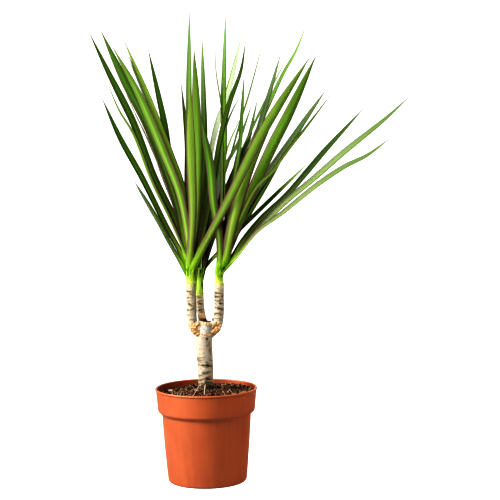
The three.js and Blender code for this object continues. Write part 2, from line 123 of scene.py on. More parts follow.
# Each stem has the heights of the leaf scars that ring it, and the marks that are seen on its front, each
# from one x, z to another with its thickness and how dark it is.
STEMS = [
    {"path": CANE_PATH, "radius": CANE_RADIUS, "scars": [117, 121, 126, 135, 142.5, 149, 158, 167], "marks": [
        (2.2, 168.5, 2.6, 165.5, 1.3, 1), (4.6, 164, 5.6, 157, 1.1, 0.4), (5.2, 156, 5.6, 149, 1.1, 0.45),
        (-9.4, 145.6, -0.8, 147.2, 0.6, 0.6), (-9.4, 143.8, -5.6, 140.8, 0.9, 0.7),
        (-5.6, 143, -3.4, 144, 0.6, 0.5), (-9.2, 137.8, -4, 137.4, 0.8, 0.55), (-4, 137.6, 7, 136.4, 1, 1),
        (2, 137.2, 7.6, 135.4, 1.8, 1), (-2.6, 127.8, 6, 129.2, 1.5, 0.75), (-8, 124.8, -3, 125.8, 1, 0.5),
        (-8, 119.2, 5.2, 124.2, 1.1, 0.75), (1.5, 121.5, 6.4, 120.4, 2, 0.95),
        (0.5, 117.4, 6.8, 117, 1.8, 0.9), (-7.5, 115.4, -1, 116.6, 0.9, 0.55),
    ]},
    {"path": LEFT_PATH, "radius": 5.7, "scars": [187, 192.5, 197.5, 202, 209, 213.5, 219, 224], "marks": [
        (-20, 224.2, -13.5, 223.4, 1, 0.9), (-17, 221.2, -13, 219.8, 0.7, 0.6),
        (-21.4, 216.4, -15.5, 217.4, 0.8, 0.7), (-21, 212.6, -16.5, 213.2, 0.7, 0.5),
        (-18.2, 209.5, -13.4, 207.1, 1.1, 1), (-20.3, 202.2, -15.7, 202.4, 1, 0.95),
        (-15.7, 202.6, -12.6, 205, 0.8, 0.6), (-20.5, 196.6, -16, 196.2, 0.6, 0.45),
        (-17, 191.3, -11.5, 191.6, 0.7, 0.6),
    ]},
    {"path": MIDDLE_PATH, "radius": 4.9, "scars": [196.5, 200, 204, 207, 211, 215], "marks": [
        (-9.2, 215.2, -4.1, 214.8, 1, 0.9), (-10, 209.4, -4, 212.2, 0.8, 0.7),
        (-6.7, 207.8, -2.2, 206.7, 1.3, 1), (-9.5, 204, -5.5, 203.4, 0.6, 0.5),
        (-7.4, 199.9, -2, 200.8, 1, 0.95), (-5.5, 197.7, -2, 198, 0.8, 0.6),
    ]},
    {"path": RIGHT_PATH, "radius": 5.8, "scars": [187, 191.5, 196, 202, 208.5, 212, 217, 222.5], "marks": [
        (12.5, 221.6, 20.4, 220.9, 1.1, 0.9), (11, 217.2, 21, 216.8, 1.5, 1),
        (11.5, 213, 15.5, 212.4, 0.8, 0.8), (15, 211.8, 20.4, 214.2, 0.8, 0.7),
        (18, 209.4, 22, 208.9, 1.2, 1), (11.6, 204.6, 16, 203.6, 0.9, 0.8), (16, 203.6, 22, 202, 1.6, 1),
        (11.2, 197, 14.5, 197.4, 1, 0.9), (15, 197.6, 20.4, 195.6, 1.3, 0.6),
        (12.5, 191.5, 16, 191.9, 0.6, 0.45),
    ]},
]
# Knobs of healed wood round the fork: centre and half sizes.
KNOBS = [
    ((-12.8, -4, 183), (5.8, 5.8, 4.8)),
    ((-9, -5.5, 186), (4.2, 3.8, 3.2)),
    ((-12.4, -4.5, 179), (4.6, 4.8, 4)),
    ((-8.6, -5.6, 174.4), (3, 3.2, 3)),
    ((-6.5, -4.6, 180), (3.6, 4, 6.6)),
    ((-5, 2.5, 192.6), (3.8, 3.8, 3.6)),
    ((-1, 2, 190.6), (2.2, 2.4, 2.6)),
    ((7.6, -3.6, 183.4), (4, 4.6, 5)),
    ((11, -4, 185.4), (3.8, 4.4, 3.6)),
    ((13.6, -2.4, 180), (5, 5, 5)),
    ((9.8, -3.8, 176.6), (3.6, 4.2, 3.6)),
    ((2.2, -7, 173), (4.6, 2.6, 2.4)),
    ((-3.6, 8, 193), (4.2, 4.6, 3.4)),
    ((9, 1, 189.8), (1, 1, 2.2)),
    ((-9, 4, 181), (5, 5, 5)),
    ((9, 2.5, 180.5), (5, 5.4, 5.4)),
]
# Where the wood has healed over: centre, half sizes and how fully.
HEALED_WOOD = [
    ((-12, -4, 180), (9.4, 11.5, 9.6), 1),
    ((13.2, -2, 180), (8, 11.5, 9), 1),
    ((-4.4, 5, 192.6), (6, 7, 4.6), 1),
    ((2.2, -7.5, 173), (5, 3.4, 2.8), 1),
    ((1.4, -7, 186.6), (9, 7, 2.6), 0.75),
]
# Centre and half sizes of the smooth grey face on the stump, its sawn top, the healed lip behind that,
# and the dark peg that stands on it.
GREY_FACE = ((0.4, -9.5, 179.4), (7.8, 6.4, 4.4))
SAWN_TOP = ((1.6, 1, STUMP_TOP + 0.8), (9.4, 9.4, 3))
HEALED_LIP = ((-4.6, 4, 192.8), (4.6, 6, 4.2))
DARK_PEG = ((9, 1, 191), (2, 2, 2.2))

# ---- Leaves ----
BLADE_WIDEST = 0.6
ROOT_WIDTH = 0.8
TIP_TAPER = 2.2
ROOT_LOWEST = 4
ROOT_RISE = 14
UNTWISTED = 0.13
BACK_ROW_LENGTH = 0.94
BACK_ROW_TURN = 10
BACK_ROW_TONE = 0.25
TONE_SPREAD = 0.04
# The green tip of each stem: how far it draws in from the branch's radius at each height over its top, and
# the radius and height of its point.
STEM_TIP = [(0.8, 0), (0.7, 3), (1.2, 9), (2.2, 16), (3.4, 24)]
STEM_POINT = (0.8, 31)
LAYER_STEP = 0.382  # the leaves' bases lie in layers round the stem, and each leaf goes this far on
LAYER_DEPTH = 0.9
LAYER_RISE = 2
FAN_START = 12
DEPTH_BEND = 1.15
BLADE_THICKNESS = 0.7
TIP_WIDTH = 0.7
THINNING = 0.35  # the share of its thickness that a blade loses by its tip
BLADE_STATIONS = 40
STATION_BIAS = 1.15  # above 1, stations lie closer together near the base
HALF_SECTION = 5  # section points from the midline to the margin
SHEATH_LENGTH = 26  # over which the base opens out of its sheath
SHEATH_REACH = 1.1  # how far round the stem each half of the sheath goes, in radii of the stem
FOLD_LOW = 0.3  # rise of each half from the midline, near the base
FOLD_TIP = 0.12
CHANNEL_ROUND = 0.035  # curvature of the blade's section, per millimetre
KEEL_ROUND = 0.4

# Each crown: the branch's top, its radius and its leaves. A leaf has [x, z] points from low to tip as
# seen from the front, how far its tip lies behind (+) or before (-) its root, its width and how far it
# is turned from the front in degrees, and where there is one, how far back a second leaf reaches. Then
# comes its tone, from 0 for an old dark leaf over 0.5 to 0.8 for a lime one and 1 for a pale one, and
# where the leaf is rolled over to show its other face, ROLLED. The tones are partly each leaf's own colour
# and partly painted light and shade: low for leaves that lie in shade, high for leaves that light falls on.
ROLLED = True
CROWNS = [
    ("crown_left", LEFT_PATH[-1], 5.3, [
        ([(-28, 258), (-40.5, 280.5), (-53, 305), (-79.5, 353)], 120, 10, 55, None, 0.27),
        ([(-27.5, 268.5), (-46, 304), (-71, 356.5), (-95, 402), (-115, 449)], 70, 10, 42, 165, 0.12),
        ([(-23, 267.5), (-38.5, 306), (-60, 352.5), (-79, 404.5), (-96.5, 436), (-110, 472)], -40, 9, 70,
         None, 0.36),
        ([(-21.5, 268.5), (-34.5, 309), (-57.5, 358.5), (-80, 420.5), (-108.5, 481), (-128, 524)], 40, 11,
         38, 125, 0.16),
        ([(-21, 270), (-30, 321.5), (-44.5, 368.5), (-64, 420), (-89.5, 470), (-114.5, 525.5)], -35, 13, 18,
         None, 0.06),
        ([(-18.5, 282.5), (-27, 334.5), (-46.5, 388), (-64.5, 433), (-79, 465), (-102, 508)], -85, 11, 32,
         None, 0.51),
        ([(-25.5, 289.5), (-40.5, 341.5), (-60.5, 393), (-80, 437), (-90, 462)], 95, 8, 74, None, 0.9),
        ([(-19.5, 289), (-24, 343), (-36.5, 381.5), (-51, 420), (-67.5, 463.5), (-88.5, 515)], 0, 10, 45,
         100, 0.87),
        ([(-20.5, 295), (-29, 341.5), (-41.5, 381.5), (-54.5, 420), (-68.5, 456), (-84.5, 496)], 65, 9, 66,
         None, 0.6),
        ([(-20, 289), (-29.5, 344), (-38.5, 379), (-43.5, 416), (-50, 450.5), (-60.5, 504)], 35, 10, 38,
         150, 0.31),
        ([(-19, 295), (-19.5, 349), (-18.5, 394), (-21, 436), (-23.5, 466)], 60, 9, 50, None, 0.37),
        ([(-16.5, 283.5), (-16, 353), (-14.5, 445), (-12.5, 546.5)], 10, 9, 36, 90, 0.18),
        ([(-15.5, 257), (-8.5, 302), (-5.5, 353), (-5.5, 413), (-8, 504)], -25, 11.5, 20, None, 0.56),
        ([(-17, 257), (-12.5, 312.5), (-13, 368.5), (-13.5, 413), (-13, 459)], -105, 11, 12, None, 0.9),
        ([(-12.5, 256.5), (-6.5, 295.5), (-0.5, 349), (3, 399), (2.5, 445), (1.5, 517.5)], 25, 9, 38,
         None, 0.11),
        ([(-3.5, 269.5), (30, 330), (63, 394.5), (86.5, 433.5), (103, 459), (124.5, 491.5)], -110, 12, 22,
         None, 0.64),
        ([(-9, 262.5), (0.5, 293), (11, 341), (19.5, 392), (32, 440), (45.5, 476.5), (51.5, 512)], -12, 9,
         45, None, 0.37),
    ]),
    ("crown_middle", MIDDLE_PATH[-1], 5, [
        ([(-3, 283), (3.5, 335.5), (9.5, 379.5), (18, 418), (31.5, 453.5), (48, 524)], 75, 10, 50, None, 1.0),
        ([(1.5, 285.5), (15, 329.5), (31, 374.5), (44, 417.5), (57, 458), (72.5, 515)], 60, 7, 70,
         None, 0.08),
        ([(-2, 270), (8, 315), (22, 360), (42, 396), (59, 443)], 125, 8, 55, None, 0.35),
        ([(2, 275), (17, 320), (36, 360), (52, 395), (65, 448)], 100, 8, 45, None, 0.1),
        ([(-2, 283), (6, 347), (12, 387.5), (21, 424), (31, 463), (39.5, 495)], 120, 7, 60, None, 0.4),
        ([(3, 270), (22, 315), (45.5, 360), (64, 405), (78, 450), (92, 498)], 50, 10, 40, 150, 0),
        ([(5, 275), (30, 335), (60, 400), (91, 467), (109.5, 500), (122.5, 532)], 85, 9.5, 56, None, 0.5),
        ([(2, 280), (25, 340), (55, 405), (82, 460), (100, 494)], 115, 7, 62, None, 0.33),
        ([(0, 249), (16.5, 268), (45.5, 298), (77, 328), (121.5, 370.5)], 70, 8, 50, 150, 0.83),
        ([(-1, 289), (11.5, 335.5), (22.5, 366.5), (32.5, 398), (48.5, 431.5)], 150, 7, 66, None, 0.4),
        ([(0, 289), (13, 352.5), (25, 404.5), (34.5, 430.5), (47.5, 454.5)], 105, 7, 60, None, 0.4),
        ([(-12, 270), (-24, 330), (-42, 390), (-64, 445)], 140, 9, 45, None, 0.3),
        ([(-9, 270), (-11, 330), (-10, 400), (-10, 470)], 110, 9, 45, None, 0.3),
        ([(-14, 262), (-29, 312), (-47, 362), (-62, 404)], 160, 9, 40, None, 0.3),
        # The last six are dark leaves in the crown's heart; their tones near 0 are painted shade.
        ([(-6, 262), (-2, 300), (4, 340), (9, 380)], 30, 12, 12, None, 0.04),
        ([(-4, 258), (4, 295), (13, 335), (20, 372), (25, 410)], 24, 12, 15, None, 0.03),
        ([(-2, 256), (9, 288), (23, 322), (38, 356), (53, 390)], 20, 12, 18, None, 0.03),
        ([(-7, 262), (-5, 300), (-4, 345), (-2, 385)], 40, 12, 12, None, 0),
        ([(1, 262), (14, 300), (29, 338), (43, 372), (58, 408)], 60, 12, 15, None, 0),
        ([(0, 262), (8, 300), (17, 340), (24, 380), (29, 420)], 45, 10, 15, None, 0),
    ]),
    ("crown_right", RIGHT_PATH[-1], 5.2, [
        ([(18, 263), (17.5, 287.5), (11.5, 327.5), (8.5, 368), (-1, 424.5)], -62, 11, 22, None, 0.36),
        ([(25, 262), (31, 288.5), (39, 320.5), (47.5, 350), (61, 386), (85.5, 432.5)], -60, 16, 22,
         None, 0.9),
        ([(38, 262.5), (62, 291.5), (92.5, 313.5), (130.5, 343.5), (163, 365), (191, 379), (218.5, 399.5)],
         -105, 11, 58, None, 0.07, ROLLED),
        ([(36.5, 262.5), (63.5, 294.5), (97, 326.5), (129, 352.5), (166, 384), (210, 419), (241, 447.5)],
         -45, 12, 54, None, 0.12, ROLLED),
        ([(31, 258.5), (46, 282), (68, 307.5), (96.5, 333), (121.5, 361), (144, 387), (187, 433.5)], 25, 11,
         50, 110, 0),
        ([(33, 287.5), (59, 339.5), (81, 361.5), (101, 388), (120.5, 412), (151, 452)], -35, 10, 68,
         None, 0.72),
        ([(32, 284), (58, 333), (80.5, 366), (102, 395.5), (122.5, 425.5), (143.5, 455)], 15, 11, 40, 95, 0),
        ([(33, 282.5), (48.5, 320.5), (66, 359), (82.5, 393.5), (102.5, 432), (132, 493.5)], -30, 13.5, 18,
         None, 0.49),
        ([(30, 275), (55, 316), (72, 344), (100, 392)], 60, 9, 42, None, 0.18),
        ([(20, 290), (23.5, 344.5), (25, 396.5), (25.5, 443.5), (29, 543.5)], 37, 9.5, 45, None, 0.39),
        ([(24, 290), (34, 345), (43.5, 391.5), (46.5, 430.5), (49.5, 477)], 28, 9, 55, None, 0.17),
        ([(20, 290), (24, 352.5), (23.5, 425), (17, 476), (17, 512)], 36, 7, 72, None, 0.9),
        ([(24, 262), (37, 300), (52, 335)], 130, 9, 45, None, 0.3),
        ([(20, 262), (26, 300), (33, 340), (38, 380)], 100, 9, 45, None, 0.3),
    ]),
]


# ---- Small helpers ----

def unit(vector):
    return vector / np.linalg.norm(vector)


def smooth_step(value):
    share = np.clip(value, 0, 1)
    return share * share * (3 - 2 * share)


def lattice_noise(points, scale, seed=0.0):
    """Smooth noise of about -1 to 1 at each point, with features about 1 / scale across."""
    shift = Vector((seed, 2 * seed, 3 * seed))
    return np.array([noise.noise(Vector(point) * scale + shift) for point in points])


def new_mesh(name, points, faces):
    """An object at the origin from points in millimetres."""
    mesh = bpy.data.meshes.new(name)
    mesh.from_pydata([tuple(float(value) * MM for value in point) for point in points], [], faces)
    mesh.validate()
    mesh.update()
    piece = bpy.data.objects.new(name, mesh)
    bpy.context.scene.collection.objects.link(piece)
    return piece


def dress(piece, material, smooth_angle=40):
    """Gives a piece its material and its shading, and lets it ride on the pot's body."""
    mesh = piece.data
    mesh.materials.clear()
    mesh.materials.append(material)
    mesh.shade_smooth()
    mesh.set_sharp_from_angle(angle=math.radians(smooth_angle))
    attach(piece, "root")


def baked(piece):
    """The piece with its modifiers turned into plain mesh."""
    graph = bpy.context.evaluated_depsgraph_get()
    graph.update()
    made = bpy.data.meshes.new_from_object(piece.evaluated_get(graph))
    piece.modifiers.clear()
    old = piece.data
    piece.data = made
    bpy.data.meshes.remove(old)
    return piece


def set_attribute(piece, name, values):
    attribute = piece.data.attributes.new(name, "FLOAT", "POINT")
    attribute.data.foreach_set("value", np.asarray(values, np.float32))


def catmull_rom(points, samples):
    """The smooth curve through the points, sampled evenly in its own parameter. The end points are
    mirrored to give the curve its first and last directions."""
    points = [np.array(point, float) for point in points]
    padded = [2 * points[0] - points[1], *points, 2 * points[-1] - points[-2]]
    curve = []
    for sample in range(samples):
        place = sample / (samples - 1) * (len(points) - 1)
        span = min(int(place), len(points) - 2)
        t = place - span
        before, start, end, after = padded[span:span + 4]
        leaving, arriving = (end - before) / 2, (after - start) / 2
        curve.append(start + leaving * t + (3 * (end - start) - 2 * leaving - arriving) * t ** 2
                     + (2 * (start - end) + leaving + arriving) * t ** 3)
    return np.array(curve)


class Route:
    """A smooth curve that gives its point and direction at a share of its length."""

    def __init__(self, points, samples=400):
        self.curve = catmull_rom(points, samples)
        steps = np.linalg.norm(np.diff(self.curve, axis=0), axis=1)
        self.travelled = np.concatenate([[0], np.cumsum(steps)])
        self.length = self.travelled[-1]

    def at(self, share):
        return np.array([np.interp(share * self.length, self.travelled, self.curve[:, axis])
                         for axis in range(3)])

    def along(self, share):
        return unit(self.at(min(share + 0.002, 1)) - self.at(max(share - 0.002, 0)))


def ring_faces(rings, sides, start=0):
    """The faces that join that many rings of points, one after another, and close both ends. Start is the
    number of the first ring's first point."""
    faces = []
    for ring in range(rings - 1):
        low = start + ring * sides
        for side in range(sides):
            after = (side + 1) % sides
            faces.append((low + side, low + after, low + sides + after, low + sides + side))
    last = start + (rings - 1) * sides
    faces.append(tuple(start + side for side in reversed(range(sides))))
    faces.append(tuple(last + side for side in range(sides)))
    return faces


def lathe(name, profile, sides):
    """A profile of (radius, height) points that starts and ends on the axis, turned about Z."""
    points, faces = [(0, 0, profile[0][1])], []
    angles = [2 * math.pi * side / sides for side in range(sides)]
    for radius, height in profile[1:-1]:
        points += [(radius * math.cos(angle), radius * math.sin(angle), height) for angle in angles]
    points.append((0, 0, profile[-1][1]))
    last = len(points) - 1
    for side in range(sides):
        after = (side + 1) % sides
        faces.append((0, 1 + after, 1 + side))
        for ring in range(len(profile) - 3):
            low, high = 1 + ring * sides, 1 + (ring + 1) * sides
            faces.append((low + side, low + after, high + after, high + side))
        faces.append((last - sides + side, last - sides + after, last))
    return new_mesh(name, points, faces)


# ---- Shader helpers ----

def add_node(tree, kind, inputs=None, **settings):
    made = tree.nodes.new(kind)
    for name, value in settings.items():
        setattr(made, name, value)
    for name, value in (inputs or {}).items():
        if isinstance(value, bpy.types.NodeSocket):
            tree.links.new(value, made.inputs[name])
        else:
            made.inputs[name].default_value = value
    return made


def maths(tree, operation, *values):
    return add_node(tree, "ShaderNodeMath", dict(enumerate(values)), operation=operation).outputs[0]


def times(tree, first, second):
    return maths(tree, "MULTIPLY", first, second)


def z_of(tree, vector):
    return add_node(tree, "ShaderNodeSeparateXYZ", {0: vector}).outputs["Z"]


def stepped(tree, value, start, end):
    """0 up to start and 1 from end, or the other way round, with a smooth rise between."""
    return add_node(tree, "ShaderNodeMapRange", {"Value": value, "From Min": start, "From Max": end},
                    interpolation_type="SMOOTHSTEP").outputs[0]


def ranged(tree, value, low, high, start=0, end=1):
    """Low up to start and high from end, with an even rise between."""
    return add_node(tree, "ShaderNodeMapRange", {"Value": value, "From Min": start, "From Max": end,
                                                 "To Min": low, "To Max": high}).outputs[0]


def mixed(tree, share, first, second):
    """The colour first, going to second as share goes to 1. Each is a socket, or red, green and blue."""
    first, second = ((*tint, 1) if isinstance(tint, tuple) else tint for tint in (first, second))
    return add_node(tree, "ShaderNodeMix", {0: share, 6: first, 7: second}, data_type="RGBA").outputs[2]


def tinted(tree, base, mask, strength, tint):
    """The base colour, going towards a tint where the mask is 1, as far as strength."""
    return mixed(tree, times(tree, mask, strength), base, tint)


def new_material(name, roughness=0.5, specular=0.5):
    material = bpy.data.materials.new(name)
    material.use_nodes = True
    tree = material.node_tree
    shader = next(made for made in tree.nodes if made.type == "BSDF_PRINCIPLED")
    shader.inputs["Roughness"].default_value = roughness
    shader.inputs["Specular IOR Level"].default_value = specular
    return material, tree, shader


def feed(tree, shader, **sockets):
    names = {"base": "Base Color", "roughness": "Roughness", "normal": "Normal"}
    for key, value in sockets.items():
        tree.links.new(value, shader.inputs[names[key]])


def bump(tree, height, distance, strength=1.0):
    """A bump of that height times distance, in millimetres."""
    return add_node(tree, "ShaderNodeBump", {"Height": height, "Distance": distance * MM,
                                             "Strength": strength}).outputs["Normal"]


def make_mottle_group():
    """Soft patches over a surface, shared by every material: Place is any coordinate, Size is how many
    patches there are to a unit of it, and Value goes smoothly from 0 to 1 between Low and High."""
    tree = bpy.data.node_groups.new("mottle", "ShaderNodeTree")
    tree.interface.new_socket("Place", in_out="INPUT", socket_type="NodeSocketVector")
    for name in ("Size", "Detail", "Low", "High"):
        tree.interface.new_socket(name, in_out="INPUT", socket_type="NodeSocketFloat")
    tree.interface.new_socket("Value", in_out="OUTPUT", socket_type="NodeSocketFloat")
    given = tree.nodes.new("NodeGroupInput").outputs
    patches = add_node(tree, "ShaderNodeTexNoise", {"Vector": given["Place"], "Scale": given["Size"],
                                                    "Detail": given["Detail"], "Roughness": 0.6})
    value = stepped(tree, patches.outputs[0], given["Low"], given["High"])
    tree.links.new(value, tree.nodes.new("NodeGroupOutput").inputs["Value"])
    return tree


MOTTLE = make_mottle_group()


def mottle(tree, place, size, detail=3.0, low=0.35, high=0.65):
    made = tree.nodes.new("ShaderNodeGroup")
    made.node_tree = MOTTLE
    tree.links.new(place, made.inputs["Place"])
    for name, value in (("Size", size), ("Detail", detail), ("Low", low), ("High", high)):
        made.inputs[name].default_value = value
    return made.outputs["Value"]


def object_place(tree, stretch=(1, 1, 1)):
    """Object coordinates in metres, stretched."""
    place = add_node(tree, "ShaderNodeTexCoord").outputs["Object"]
    return add_node(tree, "ShaderNodeMapping", {"Vector": place, "Scale": stretch}).outputs["Vector"]


def attribute(tree, name):
    return add_node(tree, "ShaderNodeAttribute", attribute_name=name).outputs["Fac"]


# ---- Materials ----
# Colours are linear red, green and blue.

POT_ORANGE = (0.35, 0.07, 0.011)
POT_BRIGHT = (0.4, 0.088, 0.016)
POT_FADED = (0.56, 0.15, 0.042)
POT_CHALK = (0.62, 0.27, 0.15)
# Painted shade for the collar's inner face above the peat.
POT_INNER_SHADE = (0.16, 0.035, 0.015)

PEAT_WET = (0.026, 0.011, 0.007)
PEAT_BROWN = (0.14, 0.066, 0.036)
PEAT_SPECK = (0.4, 0.24, 0.14)
CRUMB_BLACK = (0.02, 0.009, 0.006)
CRUMB_BROWN = (0.2, 0.1, 0.055)
CRUMB_TAN = (0.5, 0.32, 0.19)
CRUMB_GRAIN = (0.014, 0.007, 0.003)
FIBRE_BROWN = (0.12, 0.07, 0.04)
FIBRE_STRAW = (0.6, 0.47, 0.32)
FIBRE_STAIN = (0.3, 0.2, 0.12)

BARK_CREAM = (0.46, 0.395, 0.3)
BARK_GREY = (0.42, 0.385, 0.315)
BARK_TAN = (0.46, 0.35, 0.22)
BARK_SMEAR = (0.32, 0.23, 0.12)
BARK_CRACK = (0.3, 0.23, 0.15)
BARK_FLECK = (0.17, 0.13, 0.08)
BARK_SCAR = (0.05, 0.038, 0.02)
FACE_GREY = (0.4, 0.38, 0.33)
FACE_PALE = (0.6, 0.58, 0.5)
YOUNG_OLIVE = (0.42, 0.36, 0.16)
YOUNG_YELLOW = (0.58, 0.52, 0.28)
HEALED_ORANGE = (0.6, 0.37, 0.18)
HEALED_BUFF = (0.76, 0.56, 0.33)
# Painted shade for the creases between the healed wood's nodules.
HEALED_CREASE_SHADE = (0.42, 0.21, 0.085)

# Near-black green: an old leaf's colour, also used as painted shade for leaves deep in a crown.
LEAF_OLD_AND_SHADE = (0.01, 0.024, 0.004)
LEAF_DARK = (0.042, 0.108, 0.01)
LEAF_GREEN = (0.125, 0.25, 0.034)
LEAF_LIME = (0.42, 0.6, 0.1)
# A pale leaf's colour, partly painted glare of light on the leaf.
LEAF_PALE_GLARE = (0.28, 0.34, 0.2)
LEAF_DULL = (0.165, 0.195, 0.09)
LEAF_SHADE = (0.03, 0.09, 0.008)
LEAF_KEEL = (0.38, 0.53, 0.1)
LEAF_VEIN = (0.2, 0.4, 0.04)
LEAF_AGED = (0.04, 0.09, 0.01)
# Lime of the lower blade, made lighter as painted light on the shaded leaf bases.
LEAF_LOW_LIME_LIT = (0.28, 0.48, 0.035)
LEAF_FOOT = (0.5, 0.62, 0.12)
BAND_DARK = (0.07, 0.045, 0.03)
BAND_LIGHT = (0.19, 0.145, 0.08)
LEAF_RIM = (0.11, 0.05, 0.042)
LEAF_TIP = (0.1, 0.06, 0.03)


def pot_plastic():
    """Terracotta-orange moulded plastic with a soft sheen, a little chalky in patches, and with painted shade
    on the inner face of the collar above the peat. The collar's inner face lies within a cone with the
    collar's own flare."""
    flare, cone_outside, cone_inside = 0.088, 0.0489, 0.0485
    material, tree, shader = new_material("pot_plastic", specular=1.0)
    place = object_place(tree)
    clouds = mottle(tree, place, 22, 4, 0.3, 0.7)
    streaks = mottle(tree, object_place(tree, (1, 1, 0.07)), 160, 3, 0.35, 0.75)
    dust = mottle(tree, place, 260, 4, 0.6, 0.8)
    base = mixed(tree, clouds, POT_ORANGE, POT_BRIGHT)
    base = tinted(tree, base, streaks, 0.2, POT_FADED)
    base = tinted(tree, base, dust, 0.06, POT_CHALK)
    height = z_of(tree, place)
    across = add_node(tree, "ShaderNodeVectorMath", {0: object_place(tree, (1, 1, 0))}, operation="LENGTH")
    level = maths(tree, "MULTIPLY_ADD", height, -flare, across.outputs["Value"])
    inside = times(tree, stepped(tree, level, cone_outside, cone_inside), stepped(tree, height, 0.085, 0.09))
    # Painted shade: the collar's inner face above the peat is darkened.
    inner_shade = times(tree, inside, stepped(tree, height, 0.1105, 0.1035))
    base = tinted(tree, base, inner_shade, 0.6, POT_INNER_SHADE)
    rough = ranged(tree, clouds, 0.52, 0.62)
    grain = mottle(tree, place, 900, 2, 0.2, 0.8)
    waves = mottle(tree, place, 30, 1, 0.2, 0.8)
    relief = maths(tree, "ADD", times(tree, grain, 0.02), times(tree, waves, 0.25))
    feed(tree, shader, base=base, roughness=rough, normal=bump(tree, relief, 1.0, 0.5))
    return material


def peat():
    """Moist peat, nearly black, with brown and tan specks."""
    material, tree, shader = new_material("peat", 0.9, 0.1)
    place = object_place(tree)
    lumps = mottle(tree, place, 160, 5)
    specks = mottle(tree, place, 700, 2, 0.58, 0.72)
    base = mixed(tree, lumps, PEAT_WET, PEAT_BROWN)
    base = tinted(tree, base, specks, 0.6, PEAT_SPECK)
    height = mottle(tree, place, 500, 5, 0.2, 0.8)
    feed(tree, shader, base=base, normal=bump(tree, height, 0.8))
    return material


def crumb_finish():
    """Crumbs of peat: most nearly black, some brown, and a few tan chips."""
    material, tree, shader = new_material("peat_crumb", 0.9, 0.12)
    tone = attribute(tree, "tone")
    base = mixed(tree, stepped(tree, tone, 0.3, 0.9), CRUMB_BLACK, CRUMB_BROWN)
    base = mixed(tree, stepped(tree, tone, 0.88, 0.97), base, CRUMB_TAN)
    grain = mottle(tree, object_place(tree), 900, 3, 0.3, 0.7)
    base = tinted(tree, base, grain, 0.4, CRUMB_GRAIN)
    feed(tree, shader, base=base, normal=bump(tree, grain, 0.3))
    return material


def pale_fibre():
    """Dry roots and fibres, from brown to straw."""
    material, tree, shader = new_material("pale_fibre", 0.75, 0.3)
    tone = attribute(tree, "tone")
    patches = mottle(tree, object_place(tree), 120)
    base = mixed(tree, tone, FIBRE_BROWN, FIBRE_STRAW)
    base = tinted(tree, base, patches, 0.35, FIBRE_STAIN)
    feed(tree, shader, base=base)
    return material


def bark():
    """Pale cream bark with grey patches, dark ragged leaf scars in brown smears, orange nodular healed
    wood round the fork with painted shade in the creases between its nodules, and greenish-yellow young tops."""
    material, tree, shader = new_material("bark", 0.8, 0.3)
    place = object_place(tree)
    rings = object_place(tree, (0.4, 0.4, 1))
    cracks = mottle(tree, object_place(tree, (1, 1, 0.16)), 900, 3, 0.6, 0.75)
    grey = mottle(tree, place, 85, 4, 0.42, 0.6)
    tan = mottle(tree, rings, 230, 4, 0.5, 0.7)
    flecks = mottle(tree, rings, 640, 4, 0.58, 0.7)
    base = mixed(tree, grey, BARK_CREAM, BARK_GREY)
    base = tinted(tree, base, tan, 0.45, BARK_TAN)
    base = tinted(tree, base, attribute(tree, "smear"), 0.7, BARK_SMEAR)
    base = tinted(tree, base, cracks, 0.35, BARK_CRACK)
    base = tinted(tree, base, flecks, 0.4, BARK_FLECK)
    face = mixed(tree, mottle(tree, place, 500, 3, 0.4, 0.62), FACE_GREY, FACE_PALE)
    base = mixed(tree, attribute(tree, "face"), base, face)
    young = mixed(tree, mottle(tree, rings, 300, 2), YOUNG_OLIVE, YOUNG_YELLOW)
    base = mixed(tree, attribute(tree, "young"), base, young)
    healed = mixed(tree, mottle(tree, place, 300), HEALED_ORANGE, HEALED_BUFF)
    # Painted shade: the creases between the healed wood's nodules are darkened.
    crease_shade = stepped(tree, attribute(tree, "crease"), 0.25, 0.85)
    healed = tinted(tree, healed, crease_shade, 0.8, HEALED_CREASE_SHADE)
    base = mixed(tree, attribute(tree, "healed"), base, healed)
    base = mixed(tree, attribute(tree, "scar"), base, BARK_SCAR)
    height = mottle(tree, rings, 480, 5, 0.2, 0.8)
    feed(tree, shader, base=base, normal=bump(tree, height, 0.3))
    return material


